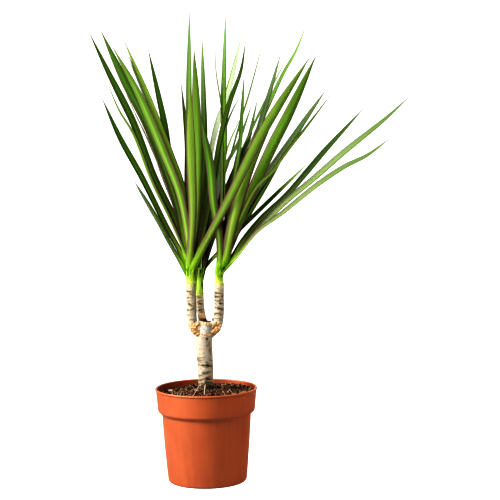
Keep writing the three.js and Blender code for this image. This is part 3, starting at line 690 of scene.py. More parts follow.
def leaf_skin():
    """Smooth leaf, green along its keel and purple-brown towards its margins, most broadly below and near
    the base, which is lime, lightened further there as painted light. Tone goes from old dark leaves and
    leaves in painted shade to young lime ones and pale ones, whose paleness is partly painted glare."""
    material, tree, shader = new_material("leaf_skin", 0.48, 0.22)
    uv = add_node(tree, "ShaderNodeUVMap", uv_map="blade").outputs["UV"]
    across, along = add_node(tree, "ShaderNodeSeparateXYZ", {"Vector": uv}).outputs[:2]
    tone, under = attribute(tree, "tone"), attribute(tree, "under")
    out = maths(tree, "ABSOLUTE", maths(tree, "MULTIPLY_ADD", across, 2.0, -1.0))
    long_lines = add_node(tree, "ShaderNodeMapping", {"Vector": uv, "Scale": (26, 2.5, 1)}).outputs["Vector"]
    veins = mottle(tree, long_lines, 1, 3, 0.3, 0.7)
    clouds = mottle(tree, object_place(tree), 25, 3, 0.3, 0.7)
    base = mixed(tree, stepped(tree, tone, 0.0, 0.3), LEAF_OLD_AND_SHADE, LEAF_DARK)
    base = mixed(tree, stepped(tree, tone, 0.25, 0.55), base, LEAF_GREEN)
    base = mixed(tree, stepped(tree, tone, 0.5, 0.85), base, LEAF_LIME)
    base = tinted(tree, base, attribute(tree, "dull"), 0.65, LEAF_DULL)
    base = tinted(tree, base, clouds, 0.25, LEAF_SHADE)
    keel = stepped(tree, out, 0.42, 0.0)
    base = tinted(tree, base, keel, maths(tree, "MULTIPLY_ADD", tone, 0.7, 0.1), LEAF_KEEL)
    base = tinted(tree, base, veins, maths(tree, "MULTIPLY_ADD", tone, 0.4, 0.08), LEAF_VEIN)
    # Pale leaves: their own pale colour and painted glare.
    base = mixed(tree, stepped(tree, tone, 0.9, 1.0), base, LEAF_PALE_GLARE)
    far = stepped(tree, along, 0.45, 1.0)
    base = tinted(tree, base, far, maths(tree, "MULTIPLY_ADD", tone, -0.55, 0.85), LEAF_AGED)
    # The lower blade turns lime, a real colour, made stronger here as painted light on the shaded bases.
    base = tinted(tree, base, stepped(tree, along, 0.28, 0.04), 0.85, LEAF_LOW_LIME_LIT)
    base = tinted(tree, base, stepped(tree, along, 0.06, 0.0), 0.7, LEAF_FOOT)
    inner = ranged(tree, along, 0.14, 0.6, 0.1, 0.75)
    inner = maths(tree, "MULTIPLY_ADD", maths(tree, "SUBTRACT", 1.0, under), 0.12, inner)
    outer = maths(tree, "ADD", inner, 0.4)
    clear = stepped(tree, along, 0.07, 0.2)
    band = times(tree, stepped(tree, out, inner, outer), clear)
    flush = mixed(tree, stepped(tree, tone, 0.2, 0.6), BAND_DARK, BAND_LIGHT)
    base = tinted(tree, base, band, 0.9, flush)
    rim = times(tree, stepped(tree, out, 0.82, 0.95), clear)
    base = tinted(tree, base, rim, 0.85, LEAF_RIM)
    base = tinted(tree, base, stepped(tree, along, 0.95, 1.0), 0.7, LEAF_TIP)
    feed(tree, shader, base=base, normal=bump(tree, veins, 0.02, 0.4))
    return material


# ---- Pot ----

def arc(centre, radius, start, end, count):
    """Points of (radius, height) round a centre, from one angle to another in degrees."""
    angles = [math.radians(start + (end - start) * place / (count - 1)) for place in range(count)]
    return [(centre[0] + radius * math.cos(angle), centre[1] + radius * math.sin(angle)) for angle in angles]


def rounded(profile, reach, count=4):
    """The profile with each corner between its ends rounded off over that reach."""
    made = [profile[0]]
    for before, corner, after in zip(profile, profile[1:], profile[2:]):
        before, corner, after = (np.array(point, float) for point in (before, corner, after))
        cut = min(reach, np.linalg.norm(before - corner) / 2.2, np.linalg.norm(after - corner) / 2.2)
        start = corner + unit(before - corner) * cut
        end = corner + unit(after - corner) * cut
        for place in range(count):
            t = place / (count - 1)
            made.append(tuple((1 - t) ** 2 * start + 2 * t * (1 - t) * corner + t ** 2 * end))
    return [*made, profile[-1]]


def pot_profile():
    bead_centre = (RIM_RADIUS - BEAD_RADIUS, POT_HEIGHT - BEAD_RADIUS)
    foot_centre = (FOOT_RADIUS - FOOT_ROUNDING, FOOT_ROUNDING)
    ring_inside = FOOT_RADIUS - FOOT_ROUNDING - FOOT_RING_WIDTH
    collar_top = RIM_RADIUS - BEAD_OVERHANG
    under_bead = POT_HEIGHT - 2 * BEAD_RADIUS
    outside = rounded([
        (0, 0), (CENTRE_PAD_RADIUS, 0), (CENTRE_PAD_RADIUS + 1, UNDERSIDE_RAISE),
        (ring_inside - 1, UNDERSIDE_RAISE), (ring_inside, 0), (foot_centre[0], 0),
    ], 0.4)
    outside += arc(foot_centre, FOOT_ROUNDING, -90, 0, 9)
    outside += rounded([
        (BODY_LOW_RADIUS, BODY_LOW), (BODY_MIDDLE_RADIUS, BODY_MIDDLE), (BODY_TOP_RADIUS, SHOULDER_BOTTOM),
        (COLLAR_BOTTOM_RADIUS - 0.4, COLLAR_BOTTOM - 1), (COLLAR_BOTTOM_RADIUS, COLLAR_BOTTOM + 0.6),
        (collar_top - 0.1, under_bead - 0.6), (collar_top, under_bead),
    ], 0.7)
    bead = arc(bead_centre, BEAD_RADIUS, -70, 200, 15)
    inside = rounded([
        (collar_top - WALL, under_bead - 0.6), (COLLAR_BOTTOM_RADIUS - WALL, COLLAR_BOTTOM + 0.4),
        (BODY_TOP_RADIUS - WALL, SHOULDER_BOTTOM + 0.4), (BODY_MIDDLE_RADIUS - WALL, BODY_MIDDLE),
        (BODY_LOW_RADIUS - WALL, BODY_LOW), (FOOT_RADIUS - WALL, FLOOR_TOP + 1),
        (FOOT_RADIUS - WALL - 1, FLOOR_TOP), (0, FLOOR_TOP),
    ], 0.5)
    return outside + bead + inside


def make_pot(material):
    pot = lathe("pot_shell", pot_profile(), POT_SIDES)
    drills = []
    for hole in range(DRAIN_HOLES):
        angle = (hole + 0.5) / DRAIN_HOLES * 2 * math.pi
        drill = lathe("drill", [(0, -5), (DRAIN_HOLE_RADIUS, -5), (DRAIN_HOLE_RADIUS, 9), (0, 9)], 32)
        across = Vector((math.cos(angle), math.sin(angle), 0)) * DRAIN_CIRCLE_RADIUS * MM
        drill.data.transform(Matrix.Translation(across))
        cut = pot.modifiers.new("drain", "BOOLEAN")
        cut.object, cut.solver = drill, "EXACT"
        drills.append(drill)
    baked(pot)
    for drill in drills:
        bpy.data.objects.remove(drill)
    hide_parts("pot")
    dress(pot, material, 32)


# ---- Soil ----

def soil_height(radius, angle):
    """The height of the peat's top: a mound round the cane, a tilt, and lumps and grain from waves."""
    mound = SOIL_MOUND * math.exp(-((radius / MOUND_SPREAD) ** 2))
    tilt = SOIL_TILT * radius * math.cos(angle - 0.5) / BODY_TOP_RADIUS
    lumps = math.sin(0.31 * radius + 3 * angle) * math.cos(0.17 * radius - 2 * angle + 1.3)
    grain = math.sin(0.73 * radius + 7 * angle + 0.6)
    return SOIL_EDGE + mound + tilt + SOIL_LUMP * (lumps + 0.5 * grain)


def inside_wall(radius):
    """The peat's radius where the pot's outside has the given one."""
    return radius - WALL - SOIL_GAP


def make_soil(material):
    """A plug of peat: a rough top over plain sides, and the blind hole that the cane stands in."""
    hole = CANE_RADIUS + SOIL_GAP
    reach = inside_wall(COLLAR_BOTTOM_RADIUS)
    side_rings = [
        (inside_wall(FOOT_RADIUS) - 1.5, FLOOR_TOP), (inside_wall(FOOT_RADIUS), FLOOR_TOP + 2),
        (inside_wall(BODY_LOW_RADIUS), BODY_LOW), (inside_wall(BODY_MIDDLE_RADIUS), BODY_MIDDLE),
        (inside_wall(BODY_TOP_RADIUS), SHOULDER_BOTTOM + 0.8), (reach, COLLAR_BOTTOM + 1),
    ]
    top_rings = [(reach - (reach - hole) * ring / (SOIL_RINGS - 1), None) for ring in range(SOIL_RINGS)]
    rings = [*side_rings, *top_rings, (hole, CANE_FOOT)]
    points = []
    for radius, height in rings:
        for side in range(SOIL_SIDES):
            angle = 2 * math.pi * side / SOIL_SIDES
            x, y = radius * math.cos(angle), radius * math.sin(angle)
            z = height
            if z is None:
                rough = noise.fractal(Vector((x, y, 0)) * 0.22, 0.9, 2.1, 4) * SOIL_ROUGH
                z = soil_height(radius, angle) + rough
            points.append((x, y, z))
    soil = new_mesh("peat_bed", points, ring_faces(len(rings), SOIL_SIDES))
    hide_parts("soil")
    dress(soil, material, 60)
    return soil


def scatter_tree(name, make_bit):
    """A Geometry Nodes tree that scatters bits over the upward faces of a mesh. Its named inputs are
    Density in bits per square metre, Smallest and Largest scale, Seed and Finish."""
    tree = bpy.data.node_groups.new(name, "GeometryNodeTree")
    face = tree.interface
    face.new_socket("Surface", in_out="INPUT", socket_type="NodeSocketGeometry")
    for label, kind in (("Density", "NodeSocketFloat"), ("Smallest", "NodeSocketFloat"),
                        ("Largest", "NodeSocketFloat"), ("Seed", "NodeSocketInt"),
                        ("Finish", "NodeSocketMaterial")):
        face.new_socket(label, in_out="INPUT", socket_type=kind)
    face.new_socket("Bits", in_out="OUTPUT", socket_type="NodeSocketGeometry")
    given = tree.nodes.new("NodeGroupInput").outputs
    facing = z_of(tree, add_node(tree, "GeometryNodeInputNormal").outputs[0])
    height = z_of(tree, add_node(tree, "GeometryNodeInputPosition").outputs[0])
    upward = maths(tree, "GREATER_THAN", facing, 0.5)
    chosen = times(tree, upward, maths(tree, "GREATER_THAN", height, SCATTER_FROM * MM))
    spots = add_node(tree, "GeometryNodeDistributePointsOnFaces",
                     {"Mesh": given["Surface"], "Density": given["Density"], "Seed": given["Seed"],
                      "Selection": chosen})
    turn = add_node(tree, "FunctionNodeRandomValue",
                    {"Min": (0, 0, 0), "Max": (6.28, 6.28, 6.28), "Seed": given["Seed"]},
                    data_type="FLOAT_VECTOR")
    size = add_node(tree, "FunctionNodeRandomValue",
                    {2: given["Smallest"], 3: given["Largest"], "Seed": given["Seed"]}, data_type="FLOAT")
    copies = add_node(tree, "GeometryNodeInstanceOnPoints",
                      {"Points": spots.outputs["Points"], "Instance": make_bit(tree),
                       "Rotation": turn.outputs[0], "Scale": size.outputs[1]})
    shade = add_node(tree, "FunctionNodeRandomValue", {"Seed": 11}, data_type="FLOAT")
    toned = add_node(tree, "GeometryNodeStoreNamedAttribute",
                     {"Geometry": copies.outputs[0], "Name": "tone", "Value": shade.outputs[1]},
                     data_type="FLOAT", domain="INSTANCE")
    real = add_node(tree, "GeometryNodeRealizeInstances", {0: toned.outputs[0]})
    done = add_node(tree, "GeometryNodeSetMaterial",
                    {"Geometry": real.outputs[0], "Material": given["Finish"]})
    tree.links.new(done.outputs[0], tree.nodes.new("NodeGroupOutput").inputs["Bits"])
    return tree


def crumb(tree):
    """An angular crumb about two millimetres across."""
    ball = add_node(tree, "GeometryNodeMeshIcoSphere", {"Radius": 1 * MM, "Subdivisions": 1})
    shift = add_node(tree, "FunctionNodeRandomValue",
                     {"Min": (-0.4 * MM,) * 3, "Max": (0.4 * MM,) * 3, "Seed": 5}, data_type="FLOAT_VECTOR")
    moved = add_node(tree, "GeometryNodeSetPosition",
                     {"Geometry": ball.outputs["Mesh"], "Offset": shift.outputs[0]})
    return add_node(tree, "GeometryNodeTransform",
                    {"Geometry": moved.outputs[0], "Scale": (1.3, 0.9, 0.7)}).outputs[0]


def fibre(tree):
    """A bent fibre a few millimetres long."""
    line = add_node(tree, "GeometryNodeCurveQuadraticBezier",
                    {"Resolution": 6, "Start": (-3 * MM, 0, 0), "Middle": (0, 1.6 * MM, 0.8 * MM),
                     "End": (3.4 * MM, -0.4 * MM, 0)})
    ring = add_node(tree, "GeometryNodeCurvePrimitiveCircle", {"Resolution": 4, "Radius": 0.16 * MM})
    inputs = {"Curve": line.outputs[0], "Profile Curve": ring.outputs[0], "Fill Caps": True}
    return add_node(tree, "GeometryNodeCurveToMesh", inputs).outputs[0]


def scattered(name, surface, tree, material, smooth_angle, density, scales, seed):
    """A plain mesh of the bits that a tree scatters on a surface."""
    piece = bpy.data.objects.new(name, surface.data.copy())
    bpy.context.scene.collection.objects.link(piece)
    scatter = piece.modifiers.new("scatter", "NODES")
    scatter.node_group = tree
    values = {"Density": density, "Smallest": scales[0], "Largest": scales[1], "Seed": seed,
              "Finish": material}
    for item in tree.interface.items_tree:
        if item.in_out == "INPUT" and item.name in values:
            scatter[item.identifier] = values[item.name]
    dress(baked(piece), material, smooth_angle)


def tube(name, route, radius_at, stations, sides):
    """A round tapering tube along a route, closed at both ends."""
    points = []
    for station in range(stations):
        share = station / (stations - 1)
        centre, along = route.at(share), route.along(share)
        across = unit(np.cross(along, (0.31, 0.95, 0.02)))
        other = np.cross(along, across)
        for side in range(sides):
            angle = 2 * math.pi * side / sides
            points.append(centre + radius_at(share) * (across * math.cos(angle) + other * math.sin(angle)))
    return new_mesh(name, points, ring_faces(stations, sides))


def on_soil(x, y, lift=0.0):
    """The point of the peat's top at x, y."""
    return (x, y, soil_height(math.hypot(x, y), math.atan2(y, x)) + lift)


def make_roots(material):
    """The few thin pale roots that stick out of the peat, at the left and by the cane's foot."""
    def tapered(share):
        return THIN_ROOT_RADIUS * (1.1 - 0.6 * share)

    routes = [
        [on_soil(-38, -20, -1), on_soil(-38.5, -20, 5), on_soil(-39.5, -19.5, 10)],
        [on_soil(-32, -24, -1), on_soil(-32.5, -24, 5), on_soil(-31.5, -24.5, 9)],
        [(-5, -8, 114.5), (-8.5, -12.5, 113), on_soil(-13, -19, 1.4), on_soil(-16, -23, 0)],
        [(-0.8, -8.4, 114), (-1.2, -14, 112), on_soil(-1.4, -22, 1.5), on_soil(-1.4, -27, 0)],
        [on_soil(23, -26, -1), on_soil(21.5, -26, 4), on_soil(19.5, -25, 6.4)],
    ]
    for number, points in enumerate(routes):
        root = tube(f"root_{number}", Route(points), tapered, 12, 7)
        set_attribute(root, "tone", [THIN_ROOT_TONE] * len(root.data.vertices))
        dress(root, material)


def make_bark_chips(material):
    """The flat chips of bark that lie on the peat, each at x, y with its turn, length and width."""
    chips = [(42, -12, 0.3, 11, 5), (33, -27, 2.2, 7, 3.4), (-24, -30, 1.1, 6, 3), (20, 34, 0.9, 9, 4)]
    outline = [(-0.5, -0.2), (-0.2, -0.5), (0.25, -0.42), (0.5, -0.1), (0.42, 0.3), (0.1, 0.5), (-0.35, 0.36)]
    for number, (x, y, turn, length, width) in enumerate(chips):
        centre = np.array(on_soil(x, y, CHIP_LIFT))
        points = []
        for rise in (-0.5, 0.5):
            for u, v in outline:
                flat = (u * length, v * width)
                points.append(centre + np.array([flat[0] * math.cos(turn) - flat[1] * math.sin(turn),
                                                 flat[0] * math.sin(turn) + flat[1] * math.cos(turn),
                                                 rise + 0.12 * flat[0] + 0.8 * u * v]))
        chip = new_mesh(f"bark_chip_{number}", points, ring_faces(2, len(outline)))
        set_attribute(chip, "tone", [CHIP_TONE] * len(chip.data.vertices))
        dress(chip, material, 30)


# ---- Trunk ----

def cane_radius(share):
    """The cane's radius over its bark, which swells a little above the foot."""
    return CANE_RADIUS + CANE_BARK + CANE_SWELL * float(smooth_step(1.5 * share))


def knob(name, centre, half_sizes):
    """A lumpy ball of healed wood."""
    ball = lathe(name, [(0, -1), *arc((0, 0), 1, -75, 75, 9), (0, 1)], 20)
    for vertex in ball.data.vertices:
        way = Vector(vertex.co) / MM
        swell = 1 + 0.16 * noise.noise(way * 2.1 + Vector(centre))
        vertex.co = Vector(c + w * h * swell for c, w, h in zip(centre, way, half_sizes)) * MM
    return ball


def lumpy_cells(places, size):
    """Rounded nodules of about that size: 1 at the middle of each and 0 in the creases between them."""
    made = []
    for place in places:
        near = noise.voronoi(Vector(place) / size)[0]
        made.append(min(1.0, (near[1] - near[0]) * 2.2))
    return np.array(made)


def within(places, centre, half_sizes):
    """About 1 inside an ellipsoid and 0 outside it."""
    reach = np.linalg.norm((places - np.array(centre)) / np.array(half_sizes), axis=1)
    return 1 - smooth_step((reach - 0.8) / 0.3)


def leaf_scars(places, owner):
    """How much of a dark scar and of a brown smear each place is: strokes on the fronts of the
    stems, and tilted, ragged and broken rings round their backs."""
    height = places[:, 2]
    ragged = lattice_noise(places, 0.7, 9.0)
    wavy = lattice_noise(places, 0.22, 3.0)
    slanted = places * (0.2, 0.2, 0.5) + places[:, [0]] * (0, 0, 0.2)
    dirt = lattice_noise(slanted, 1.0, 21.0) + 0.35 * ragged
    plain = smooth_step((height - PLAIN_STRETCH[0]) / 6) * smooth_step((PLAIN_STRETCH[1] - height) / 6)
    smear = smooth_step((dirt - 0.04 - 0.12 * plain) / 0.3) * 0.75
    scar = smooth_step((dirt - 0.34 - 0.3 * plain) / 0.16) * 0.5
    foot = smooth_step((PEAT_STAIN_TOP - height + 4 * wavy + 2 * ragged) / 5)
    smear = np.maximum(smear, foot)
    scar = np.maximum(scar, 0.85 * smooth_step((foot - 0.35 + 0.9 * ragged) / 0.5) * (foot > 0.05))
    for number, stem in enumerate(STEMS):
        mine = owner == number
        middle = np.array(stem["path"])[:, :2].mean(axis=0)
        front = smooth_step((middle[1] + 1.5 - places[:, 1]) / 3)
        for x_start, z_start, x_end, z_end, thick, dark in stem["marks"]:
            start, line = np.array((x_start, z_start)), np.array((x_end - x_start, z_end - z_start))
            offset = places[:, [0, 2]] - start
            share = np.clip(offset @ line / (line @ line), 0, 1)
            apart = np.linalg.norm(offset - share[:, None] * line, axis=1) + 0.45 * ragged + 0.3 * wavy
            apart = np.maximum(apart, 0)
            swell = thick * (0.75 + 0.5 * np.sin(3 * share + 2 * dark))
            stroke = np.exp(-(apart / swell) ** 3) * dark * front
            stain = np.exp(-(apart / (1.25 * thick + 0.6)) ** 2) * front
            scar = np.maximum(scar, np.where(mine, stroke, 0))
            smear = np.maximum(smear, np.where(mine, stain, 0))
        angle = np.arctan2(places[:, 1] - middle[1], places[:, 0] - middle[0])
        for order, level in enumerate(stem["scars"]):
            seed = 17.0 * number + 5.3 * order
            tilt = 1.3 * np.sin(angle + seed) + 0.7 * np.sin(2 * angle + 2.3 * seed)
            off = height - level - tilt - 1.1 * wavy - 0.45 * ragged
            change = lattice_noise(places, 0.17, seed)
            thick = 0.35 + 0.9 * smooth_step(0.5 + 1.6 * change)
            present = smooth_step(0.42 + 2.6 * lattice_noise(places, 0.14, seed + 50)) * (1 - front)
            ring = np.exp(-np.abs(off / thick) ** 3) * present
            stain = np.exp(-((off / (1.6 + change)) ** 2)) * present
            scar = np.maximum(scar, np.where(mine, ring, 0))
            smear = np.maximum(smear, np.where(mine, stain, 0))
    return scar, smear


def nearest_stem(places):
    """The number of the stem whose surface each place is nearest to."""
    gaps = []
    for stem in STEMS:
        curve = Route(stem["path"]).curve[::4]
        apart = np.linalg.norm(places[:, None, :] - curve[None, :, :], axis=2)
        gaps.append(np.min(apart, axis=1) - stem["radius"])
    return np.array(gaps).argmin(axis=0)


def bark_relief(places):
    """For each place on the stems: how far the bark stands out, and how much of a dark scar, brown smear,
    healed wood, crease between its nodules, smooth grey face and young bark it is."""
    owner = nearest_stem(places)
    height = places[:, 2]
    ragged = lattice_noise(places, 0.75, 9.0)
    scar, smear = leaf_scars(places, owner)
    face = within(places + 0.8 * ragged[:, None], *GREY_FACE)
    healed = np.maximum.reduce([fully * within(places, centre, half_sizes)
                                for centre, half_sizes, fully in HEALED_WOOD])
    healed = healed * smooth_step((height - HEALED_FROM) / 3) * (1 - face)
    nodules = lumpy_cells(places + 0.5 * ragged[:, None], 3.8)
    relief = (0.16 * lattice_noise(places, 0.45, 60.0) - 0.4 * scar + 0.2 * smear) * (1 - healed)
    relief += healed * (0.8 * nodules - 0.4 + 0.3 * lattice_noise(places, 0.3, 40.0))
    young = np.zeros(len(places))
    for number, stem in enumerate(STEMS[1:], start=1):
        top = stem["path"][-1][2]
        near_top = smooth_step((height - top + YOUNG_LENGTH + 1.8 * ragged) / 6)
        young = np.maximum(young, np.where(owner == number, near_top, 0))
        relief[(owner == number) & (height > top - 0.6)] = 0
    sawn = within(places, *SAWN_TOP) * (height > STUMP_TOP - 1.2 + ragged)
    sawn = sawn * (1 - within(places, *HEALED_LIP))
    scar = np.maximum.reduce([scar * (1 - healed), 0.95 * sawn, 0.9 * within(places, *DARK_PEG)])
    return relief, {"scar": scar, "smear": smear * (1 - healed), "healed": healed, "crease": 1 - nodules,
                    "face": face, "young": young}


def make_trunk(material):
    """The cane and its branches under one skin of bark, with the buried part as a plain round stub."""
    buried = [(0, CANE_FOOT), (CANE_RADIUS, CANE_FOOT), (CANE_RADIUS, CANE_CLEAR), (0, CANE_CLEAR)]
    stubs = [lathe("buried", buried, 48)]
    for number, stem in enumerate(STEMS):
        route = Route(stem["path"])
        radius_at = cane_radius if number == 0 else (lambda share, radius=stem["radius"]: radius)
        stubs.append(tube(f"stem_{number}", route, radius_at, 60, 28))
    for number, (centre, half_sizes) in enumerate(KNOBS):
        stubs.append(knob(f"knob_{number}", centre, half_sizes))
    points, faces = [], []
    for stub in stubs:
        start = len(points)
        points += [tuple(vertex.co / MM) for vertex in stub.data.vertices]
        faces += [tuple(start + corner for corner in face.vertices) for face in stub.data.polygons]
        bpy.data.objects.remove(stub)
    trunk = new_mesh("trunk_bark", points, faces)
    skin = trunk.modifiers.new("skin", "REMESH")
    skin.mode, skin.voxel_size = "VOXEL", SKIN_VOXEL * MM
    baked(trunk)
    mesh = trunk.data
    places = np.zeros(3 * len(mesh.vertices), np.float32)
    mesh.vertices.foreach_get("co", places)
    places = places.reshape(-1, 3).astype(float) / MM
    normals = np.array([vertex.normal for vertex in mesh.vertices])
    relief, marks = bark_relief(places)
    relief[places[:, 2] < CANE_CLEAR - 4] = 0
    places += normals * relief[:, None]
    mesh.vertices.foreach_set("co", (places * MM).astype(np.float32).ravel())
    mesh.update()
    for name, values in marks.items():
        set_attribute(trunk, name, values)
    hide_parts("trunk")
    dress(trunk, material, 70)


# ---- Crowns ----

def blade_width(share):
    """A blade's width at a share of its length, as a share of its widest."""
    if share < BLADE_WIDEST:
        return ROOT_WIDTH + (1 - ROOT_WIDTH) * float(smooth_step(share / BLADE_WIDEST))
    return 1 - ((share - BLADE_WIDEST) / (1 - BLADE_WIDEST)) ** TIP_TAPER


def square_to(along, vector):
    """The part of a vector that is square to a blade's own line."""
    return unit(vector - along * np.dot(vector, along))


def turned_about(axis, vector, angle):
    return (vector * math.cos(angle) + np.cross(axis, vector) * math.sin(angle)
            + axis * np.dot(axis, vector) * (1 - math.cos(angle)))


def blade_twist(along, point, inwards, turn, rolled):
    """The turn about a blade's own line from its natural facing to the facing it is seen with."""
    natural = square_to(along, inwards)
    sight = square_to(along, np.array(EYE) - point)
    if (np.dot(sight, natural) < 0) != rolled:
        sight = -sight
    side = np.cross(along, natural)
    whole = math.atan2(np.dot(sight, side), np.dot(sight, natural))
    return whole - math.copysign(math.radians(turn), whole)


def along_sight(x, z, y):
    """The real point at depth y that is seen at x, z on the upright plane through the pot's axis."""
    seen = np.array((x, 0, z), float)
    return seen + (seen - np.array(EYE)) * (y / -EYE[1])


def leaf_points(root, radius, seen, depth, length):
    """The real points of a leaf from the points that are seen, with a first one on the stem. Length shrinks
    the leaf towards its root."""
    start = np.array((root[0], root[2] + FAN_START), float)
    shrunk = [start + (np.array(point) - start) * length for point in seen]
    steps = [np.linalg.norm(point - before) for before, point in zip([start, *shrunk], shrunk)]
    travelled = np.cumsum(steps) / sum(steps)
    points = [along_sight(point[0], point[1], root[1] + depth * share ** DEPTH_BEND)
              for point, share in zip(shrunk, travelled)]
    lean = unit(points[1] - np.array(root))
    low = np.array(root) + np.array((lean[0], lean[1], 0)) * radius
    low[2] += ROOT_LOWEST + ROOT_RISE * lean[2] ** 4
    return [low, *points]


def blade(points, width, turn, rolled, root, radius, layer):
    """Rings of (place, across, along, under) for one leaf: a base that clasps the stem, opening into the
    folded blade."""
    inwards = (points[0] - points[-1]) * np.array((1, 1, 0))
    foot = np.array(root, float) - unit(inwards) * (radius - LAYER_DEPTH + LAYER_DEPTH * layer)
    foot = foot + np.array((0, 0, 0.5 + LAYER_RISE * (1 - layer)))
    route = Route([foot, *points])
    low = 1 - Route(points).length / route.length
    fork = low + BLADE_WIDEST * (1 - low)
    twist = blade_twist(route.along(fork), route.at(fork), inwards, turn, rolled)
    rings = []
    for station in range(BLADE_STATIONS):
        place = (station / (BLADE_STATIONS - 1)) ** STATION_BIAS
        centre, along = route.at(place), route.along(place)
        share = max((place - low) / (1 - low), 0)
        normal = square_to(along, inwards)
        normal = turned_about(along, normal, twist * float(smooth_step(place / UNTWISTED)))
        side = np.cross(normal, along)
        opening = float(smooth_step(place * route.length / SHEATH_LENGTH))
        half = max(width * blade_width(share), TIP_WIDTH) / 2
        half = max(SHEATH_REACH * radius, half) * (1 - opening) + half * opening
        bend = (1 - opening) / (radius + 0.4) + opening * CHANNEL_ROUND
        fold = (FOLD_LOW + (FOLD_TIP - FOLD_LOW) * share) * opening
        thick = BLADE_THICKNESS * (1 - THINNING * share)
        ring = []
        for under, steps in enumerate((range(-HALF_SECTION, HALF_SECTION + 1),
                                       range(HALF_SECTION - 1, -HALF_SECTION, -1))):
            for step in steps:
                out = step / HALF_SECTION
                arc_length = out * half
                sideways = math.sin(bend * arc_length) / bend / math.hypot(1, 0.8 * fold)
                raised = (1 - math.cos(bend * arc_length)) / bend
                raised += fold * (math.hypot(arc_length, KEEL_ROUND) - KEEL_ROUND)
                raised += (0.5 - under) * thick * (1 - abs(out) ** 3)
                raised -= fold * half * 0.5
                ring.append((centre + side * sideways + normal * raised, (out + 1) / 2, place, under))
        rings.append(ring)
    return rings


def make_crown(name, root, radius, leaves, material, random):
    """One branch's leafy head: a green stem tip and its leaves, in one mesh."""
    points, faces, uvs, tones, unders, dulls = [], [], [], [], [], []

    def add_rings(rings, tone, dull=False):
        faces.extend(ring_faces(len(rings), len(rings[0]), len(points)))
        for ring in rings:
            for place, across, along, under in ring:
                points.append(place)
                uvs.append((across, along))
                tones.append(tone)
                unders.append(under)
                dulls.append(dull)

    bud = [(radius - inset, rise) for inset, rise in STEM_TIP] + [STEM_POINT]
    ways = [(math.cos(angle), math.sin(angle)) for angle in (2 * math.pi * side / 24 for side in range(24))]
    add_rings([[(np.array(root) + np.array((reach * x, reach * y, rise)), 0.5, 0.02, 0) for x, y in ways]
               for reach, rise in bud], BACK_ROW_TONE)
    for number, (seen, depth, width, turn, back, tone, *rolled) in enumerate(leaves):
        rows = [(depth, 1, turn)] + ([(back, BACK_ROW_LENGTH, turn + BACK_ROW_TURN)] if back else [])
        for reach, length, facing in rows:
            own = leaf_points(root, radius, seen, reach, length)
            layer = (LAYER_STEP * number + 0.5 * (length < 1)) % 1
            add_rings(blade(own, width, facing, bool(rolled), root, radius, layer),
                      tone + TONE_SPREAD * (random.random() - 0.5), bool(rolled))
            tone = BACK_ROW_TONE
    crown = new_mesh(f"{name}_leaves", points, faces)
    layer = crown.data.uv_layers.new(name="blade")
    corners = np.zeros(len(crown.data.loops), np.int32)
    crown.data.loops.foreach_get("vertex_index", corners)
    layer.data.foreach_set("uv", np.array(uvs, np.float32)[corners].ravel())
    set_attribute(crown, "tone", tones)
    set_attribute(crown, "under", unders)
    set_attribute(crown, "dull", dulls)
    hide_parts(name)
    dress(crown, material, 50)


# ---- Studio ----

WHITE = (1, 1, 1, 1)
FLOOR_GREY = (0.35, 0.35, 0.35, 1)
FLOOR_GLOW = 0.97
FLOOR_REACH = 3000
SKY_MIRRORED = 0.55
SKY_FILL = 0.025


def make_camera():
    """The camera looks along +Y, pitched down and rolled a little."""
    forward = Vector((0, math.cos(PITCH), -math.sin(PITCH)))
    up = Vector((0, math.sin(PITCH), math.cos(PITCH)))
    right = Vector((1, 0, 0))
    rolled_right = math.cos(ROLL) * right + math.sin(ROLL) * up
    rolled_up = -math.sin(ROLL) * right + math.cos(ROLL) * up
    data = bpy.data.cameras.new("camera")
    data.sensor_width = SENSOR_WIDTH
    data.lens = SENSOR_WIDTH * FOCAL_PIXELS / IMAGE_PIXELS
    camera = bpy.data.objects.new("camera", data)
    turn = Matrix((rolled_right, rolled_up, -forward)).transposed().to_4x4()
    camera.matrix_world = Matrix.Translation(Vector(EYE) * MM) @ turn
    bpy.context.scene.collection.objects.link(camera)
    bpy.context.scene.camera = camera


def add_softbox(name, place, size, watts, target=(0, 0, 0.27)):
    """A square light at a place in metres, facing its target."""
    data = bpy.data.lights.new(name, "AREA")
    data.shape, data.size, data.energy = "SQUARE", size, watts
    light = bpy.data.objects.new(name, data)
    light.matrix_world = (Matrix.Translation(Vector(place))
                          @ (Vector(target) - Vector(place)).to_track_quat("-Z", "Y").to_matrix().to_4x4())
    bpy.context.scene.collection.objects.link(light)
    return light


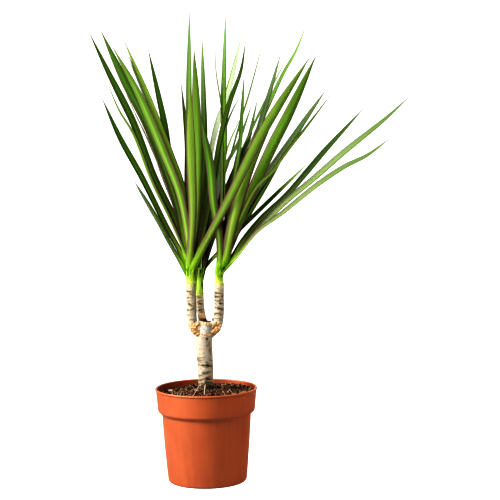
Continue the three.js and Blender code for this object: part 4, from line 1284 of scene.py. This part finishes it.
def make_studio():
    """A white sweep: to the camera the floor and what is beyond are white, but they throw little light."""
    scene = bpy.context.scene
    scene.view_settings.view_transform = "Standard"
    scene.view_settings.look = "Very High Contrast"
    world = bpy.data.worlds.new("studio")
    scene.world = world
    world.use_nodes = True
    tree = world.node_tree
    background = next(made for made in tree.nodes if made.type == "BACKGROUND")
    rays = add_node(tree, "ShaderNodeLightPath").outputs
    thrown = maths(tree, "MULTIPLY_ADD", rays["Is Glossy Ray"], SKY_MIRRORED, SKY_FILL)
    tree.links.new(maths(tree, "MAXIMUM", rays["Is Camera Ray"], thrown), background.inputs["Strength"])
    background.inputs["Color"].default_value = WHITE

    material, tree, shader = new_material("studio_floor", 0.9, 0.1)
    shader.inputs["Base Color"].default_value = FLOOR_GREY
    shader.inputs["Emission Color"].default_value = WHITE
    seen = add_node(tree, "ShaderNodeLightPath").outputs["Is Camera Ray"]
    tree.links.new(times(tree, seen, FLOOR_GLOW), shader.inputs["Emission Strength"])
    corners = [(-FLOOR_REACH, -FLOOR_REACH, 0), (FLOOR_REACH, -FLOOR_REACH, 0), (FLOOR_REACH, FLOOR_REACH, 0),
               (-FLOOR_REACH, FLOOR_REACH, 0)]
    floor = new_mesh("floor", corners, [(0, 1, 2, 3)])
    floor.data.materials.append(material)
    add_softbox("key", (-1.62, -0.62, 1.35), size=0.8, watts=61)
    edge = add_softbox("edge", (1.3, 0.25, 0.06), size=0.1, watts=7, target=(0, 0, 0.07))
    edge.visible_glossy = False
    add_softbox("back", (0.7, 1.8, 0.7), size=1.0, watts=7)
    crown = add_softbox("crown_light", (-0.22, -0.58, 0.7), size=0.25, watts=4.3, target=(0, 0, 0.5))
    crown.visible_camera = False
    crown.visible_glossy = False


def build():
    make_camera()
    make_studio()
    make_pot(pot_plastic())
    soil = make_soil(peat())
    crumb_tree = scatter_tree("crumbs", crumb)
    fibre_tree = scatter_tree("fibres", fibre)
    pale = pale_fibre()
    bark_finish = bark()
    crumbly = crumb_finish()
    scattered("peat_crumbs", soil, crumb_tree, crumbly, 30, density=240000, scales=(0.3, 1.3), seed=3)
    scattered("peat_lumps", soil, crumb_tree, crumbly, 30, density=9000, scales=(1.4, 2.6), seed=5)
    scattered("peat_fibres", soil, fibre_tree, pale, 60, density=60000, scales=(0.35, 1.2), seed=8)
    make_roots(pale)
    make_bark_chips(crumbly)
    make_trunk(bark_finish)
    leaf_finish = leaf_skin()
    random = np.random.default_rng(4)
    for name, root, radius, leaves in CROWNS:
        make_crown(name, root, radius, leaves, leaf_finish, random)


build()
